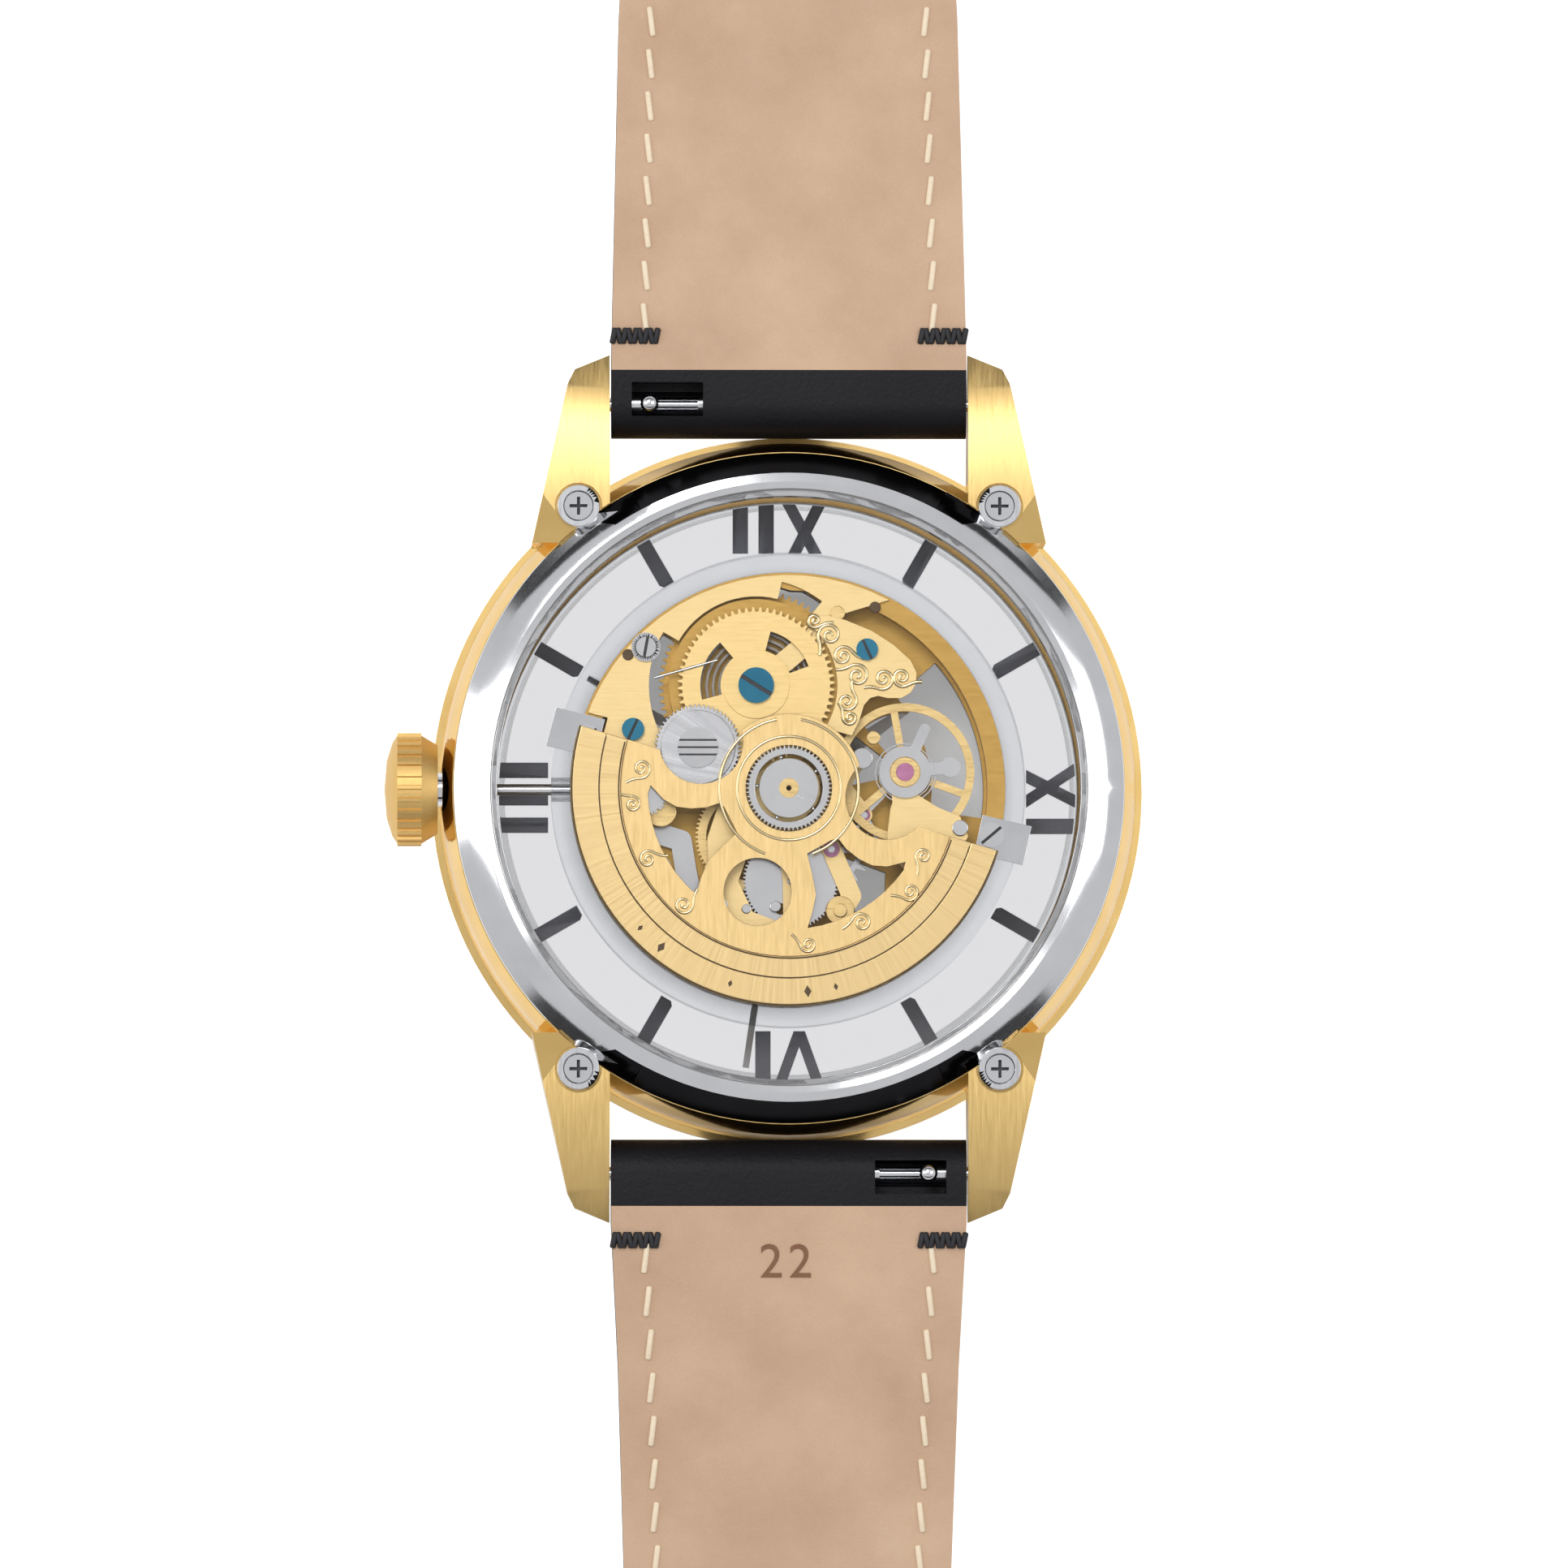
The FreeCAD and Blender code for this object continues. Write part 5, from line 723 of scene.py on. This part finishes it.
class WATCH_OT_plates(bpy.types.Operator):
    """Main plate, bridges, cock, holder ring and clamps"""
    bl_idname = "watch.plates"
    bl_label = "Plates and bridges"

    def execute(self, context):
        # Painted shade: the low main plate gets a darker gilt, and its sideways walls a darker gilt still.
        paint_faces(dressed("main_plate", "gilt_painted_depth_shade", 24, 0.05), "gilt_in_shade", lambda c, n: n.z < 0.5)
        dressed("movement_holder", "clear_plastic", 24)
        dressed("movement_clamps", "polished_steel", 24, 0.03)
        for node in ("barrel_bridge", "scroll_bridge", "train_bridge", "balance_cock"):
            # Painted shade: the sideways walls of the bridges and cock get a darker gilt.
            paint_faces(dressed(node, "plate_top", 24, 0.05), "gilt_in_shade", lambda c, n: n.z < 0.5)
        dressed("setting_lever", "movement_steel", 24, 0.03)
        regulator = dressed("regulator", "movement_steel", 24, 0.02)
        paint_faces(regulator, "movement_gold", lambda c, n: (c.xy - BALANCE.xy / MM).length < 0.93)
        dressed("jewels", "ruby", 24, 0.04)
        return {'FINISHED'}


class WATCH_OT_train(bpy.types.Operator):
    """Wheels of the going train, ratchet, barrel, pallet fork and balance"""
    bl_idname = "watch.train"
    bl_label = "Wheels"

    def execute(self, context):
        # Painted shade: the ratchet wheel's sideways walls get a darker gilt.
        paint_faces(dressed("ratchet_wheel", "ratchet_face", 24, 0.03), "gilt_in_shade", lambda c, n: n.z < 0.5)
        ratchet_screw = dressed("ratchet_screw", "blued_steel", 24, 0.03)
        paint_islands(ratchet_screw, "ratchet_face", lambda low, high: high.x - low.x > 3.0)
        # Painted shade: the barrel gets the darker gilt of the low main plate.
        barrel = dressed("barrel", "gilt_painted_depth_shade", 24)
        paint_islands(barrel, "spring_grey", lambda low, high: high.x - low.x < 10.3)
        for node in ("centre_wheel", "third_wheel"):
            dressed(node, "movement_gold", 24)
        for node in ("fourth_wheel", "escape_wheel", "pallet_fork"):
            dressed(node, "movement_steel", 24)
        balance = dressed("balance_wheel", "movement_gold", 24, 0.02)
        paint_islands(balance, "movement_steel", lambda low, high: high.x - low.x < 6.5)
        paint_slots(ratchet_screw)
        paint_slots(dressed("blued_screws", "blued_steel", 24, 0.03))
        paint_slots(dressed("steel_screws", "movement_steel", 24, 0.02))
        return {'FINISHED'}


class WATCH_OT_rotor(bpy.types.Operator):
    """Winding weight, its plate and its ball bearing"""
    bl_idname = "watch.rotor"
    bl_label = "Rotor"

    def execute(self, context):
        # Painted shade: the sideways walls of the rotor weight and plate get a darker gilt.
        paint_faces(dressed("rotor_weight", "brushed_gold", 24, 0.04), "gilt_in_shade", lambda c, n: n.z < 0.5)
        paint_faces(dressed("rotor_plate", "rotor_face", 24, 0.05), "gilt_in_shade", lambda c, n: n.z < 0.5)
        dressed("rotor_bearing_outer", "movement_steel", 24, 0.03)
        inner = dressed("rotor_bearing_inner", "movement_steel", 24, 0.02)
        paint_faces(inner, "movement_gold", lambda c, n: c.xy.length < 0.62)
        return {'FINISHED'}


class WATCH_OT_strap(bpy.types.Operator):
    """Leather strap with painted edges, keepers and spring bars"""
    bl_idname = "watch.strap"
    bl_label = "Strap"

    def execute(self, context):
        for node in ("strap_top_leather", "strap_lower_leather"):
            dressed(node, "black_leather", 32, 0.14)
        for node in ("fixed_keeper", "free_keeper"):
            dressed(node, "black_leather", 32, 0.12)
        for node in ("strap_top_lining", "strap_lower_lining"):
            lining = dressed(node, "tan_lining", 32)
            paint_faces(lining, "edge_paint", lambda c, n: n.z < 0.55)
        for node in ("strap_top_bars", "strap_lower_bar", "quick_release_top", "quick_release_lower"):
            dressed(node, "polished_steel", 30)
        for node in ("buckle_frame", "buckle_tongue"):
            dressed(node, "gold_plate", 30, 0.12)
        return {'FINISHED'}


class WATCH_OT_stage(bpy.types.Operator):
    """Table, studio light and the camera of the photograph"""
    bl_idname = "watch.stage"
    bl_label = "Stage"

    def execute(self, context):
        scene = context.scene
        colours = scene.watch_colours

        table = bmesh.new()
        bmesh.ops.create_grid(table, x_segments=2, y_segments=2, size=4.0)
        bmesh.ops.translate(table, verts=table.verts, vec=(0, 0, CAD_BOX[0][2] - TABLE_GAP))
        mesh = bpy.data.meshes.new("table")
        table.to_mesh(mesh)
        table.free()
        floor = bpy.data.objects.new("table", mesh)
        scene.collection.objects.link(floor)
        mesh.materials.append(table_material(tuple(colours.floor)))

        lamps = [area_light("key", (-0.25, 0.45, 1.1), (0, 0, 0), 0.5, 0.5, 4.6),
                 area_light("fill", (0.75, 0.1, 0.9), (0, 0, 0), 0.6, 0.8, 2.6),
                 area_light("back", (-0.9, 0.1, 0.7), (0, 0, 0), 0.5, 0.9, 2.2)]
        cards = [black_card("card_top", (0, 0.62, 0.42), 1.6, 0.5, 56),
                 black_card("card_low", (0, -0.62, 0.42), 1.6, 0.5, -56)]

        world = bpy.data.worlds.new("room")
        scene.world = world
        world.use_nodes = True
        tree = world.node_tree
        tree.nodes.clear()
        path = add(tree, "LightPath")
        seen = add(tree, "Math", {"operation": 'MAXIMUM'}, i0=path.outputs["Is Camera Ray"],
                   i1=path.outputs["Is Transmission Ray"])
        room = add(tree, "Background", Color=tuple(colours.room) + (1.0,), Strength=0.85)
        white = add(tree, "Background", Color=(1, 1, 1, 1), Strength=1.0)
        both = add(tree, "MixShader", i0=seen.outputs[0], i1=room.outputs[0], i2=white.outputs[0])
        out = add(tree, "OutputWorld")
        tree.links.new(both.outputs[0], out.inputs[0])

        camera_data = bpy.data.cameras.new("camera")
        camera_data.lens = CAMERA_LENS
        camera_data.sensor_width = 36.0
        camera_data.clip_end = 20.0
        camera_data.dof.use_dof = False
        camera = bpy.data.objects.new("camera", camera_data)
        scene.collection.objects.link(camera)
        scene.camera = camera
        lean = [math.sin(math.radians(angle)) for angle in CAMERA_LEAN]
        camera.location = CAMERA_AIM + CAMERA_DISTANCE * Vector((-lean[0], -lean[1], 1.0))
        back = (camera.location - CAMERA_AIM).normalized()
        right = Vector((0, 1, 0)).cross(back).normalized()
        camera.rotation_euler = Matrix((right, back.cross(right), back)).transposed().to_euler()
        scene.view_settings.view_transform = 'Standard'
        return {'FINISHED'}


def area_light(name, place, aim, wide, high, power):
    data = bpy.data.lights.new(name, 'AREA')
    data.shape = 'RECTANGLE'
    data.size, data.size_y = wide, high
    data.energy = power
    lamp = bpy.data.objects.new(name, data)
    lamp.location = place
    lamp.rotation_euler = (Vector(aim) - Vector(place)).to_track_quat('-Z', 'Y').to_euler()
    bpy.context.scene.collection.objects.link(lamp)
    return lamp


def black_card(name, place, wide, high, tilt):
    """Card beside the table that bright rims mirror as a black band."""
    work = bmesh.new()
    bmesh.ops.create_grid(work, x_segments=1, y_segments=1, size=0.5)
    bmesh.ops.scale(work, verts=work.verts, vec=(wide, high, 1))
    bmesh.ops.rotate(work, verts=work.verts, matrix=Matrix.Rotation(math.radians(tilt), 3, 'X'))
    bmesh.ops.translate(work, verts=work.verts, vec=place)
    mesh = bpy.data.meshes.new(name)
    work.to_mesh(mesh)
    work.free()
    card = bpy.data.objects.new(name, mesh)
    bpy.context.scene.collection.objects.link(card)
    material, tree, shader = new_material(name + "_felt")
    shader.inputs["Base Color"].default_value = (0.004, 0.004, 0.004, 1)
    shader.inputs["Roughness"].default_value = 1.0
    mesh.materials.append(material)
    card.visible_camera = False
    card.visible_diffuse = False
    card.visible_shadow = False
    return card


def table_material(colour):
    """White table: lit white for the camera and in mirrors, with the object's shadow kept and a painted shadow under
    the movement.
    """
    material = bpy.data.materials.new("white_table")
    material.use_nodes = True
    tree = material.node_tree
    tree.nodes.clear()
    path = add(tree, "LightPath")
    seen = add(tree, "Math", {"operation": 'MAXIMUM'}, i0=path.outputs["Is Camera Ray"],
               i1=path.outputs["Is Transmission Ray"])
    mirrored = add(tree, "Math", {"operation": 'MULTIPLY'}, i0=path.outputs["Is Glossy Ray"], i1=0.12)
    straight = add(tree, "Math", {"operation": 'MAXIMUM'}, i0=seen.outputs[0], i1=mirrored.outputs[0])
    where = add(tree, "TexCoord")
    reach = add(tree, "VectorMath", {"operation": 'LENGTH'}, i0=where.outputs["Object"])
    # Painted shadow: the table's glow drops to 0.3 under the movement, out to 12.4 mm, rising to 0.86 by 14.2 mm.
    under = add(tree, "MapRange", i0=reach.outputs["Value"], i1=12.4 * MM, i2=14.2 * MM, i3=0.3, i4=0.86)
    level = add(tree, "Math", {"operation": 'MULTIPLY'}, i0=straight.outputs[0], i1=under.outputs[0])
    matte = add(tree, "BsdfDiffuse", Color=colour + (1.0,))
    lit = add(tree, "Emission", Color=(1, 1, 1, 1), Strength=level.outputs[0])
    both = add(tree, "AddShader", i0=matte.outputs[0], i1=lit.outputs[0])
    out = add(tree, "OutputMaterial")
    tree.links.new(both.outputs[0], out.inputs[0])
    return material


class WATCH_PT_panel(bpy.types.Panel):
    """Builders of the watch"""
    bl_idname = "WATCH_PT_panel"
    bl_label = "Skeleton wristwatch"
    bl_space_type = 'VIEW_3D'
    bl_region_type = 'UI'
    bl_category = "Watch"

    def draw(self, context):
        layout = self.layout
        for group in (context.scene.watch_sizes, context.scene.watch_colours):
            for name in group.bl_rna.properties.keys():
                if name not in {"rna_type", "name"}:
                    layout.prop(group, name)
        for operator in OPERATORS:
            layout.operator(operator.bl_idname)


OPERATORS = (WATCH_OT_case, WATCH_OT_crown, WATCH_OT_dial, WATCH_OT_plates, WATCH_OT_train, WATCH_OT_rotor,
             WATCH_OT_strap, WATCH_OT_sewing, WATCH_OT_scrolls, WATCH_OT_small_parts, WATCH_OT_stage)
CLASSES = (WatchSizes, WatchColours) + OPERATORS + (WATCH_PT_panel,)


def register():
    for cls in CLASSES:
        bpy.utils.register_class(cls)
    bpy.types.Scene.watch_sizes = PointerProperty(type=WatchSizes)
    bpy.types.Scene.watch_colours = PointerProperty(type=WatchColours)


def unregister():
    del bpy.types.Scene.watch_colours
    del bpy.types.Scene.watch_sizes
    for cls in reversed(CLASSES):
        bpy.utils.unregister_class(cls)


def main():
    register()
    make_materials()
    for operator in OPERATORS:
        group, name = operator.bl_idname.split(".")
        getattr(getattr(bpy.ops, group), name)()


if __name__ == "__main__":
    main()
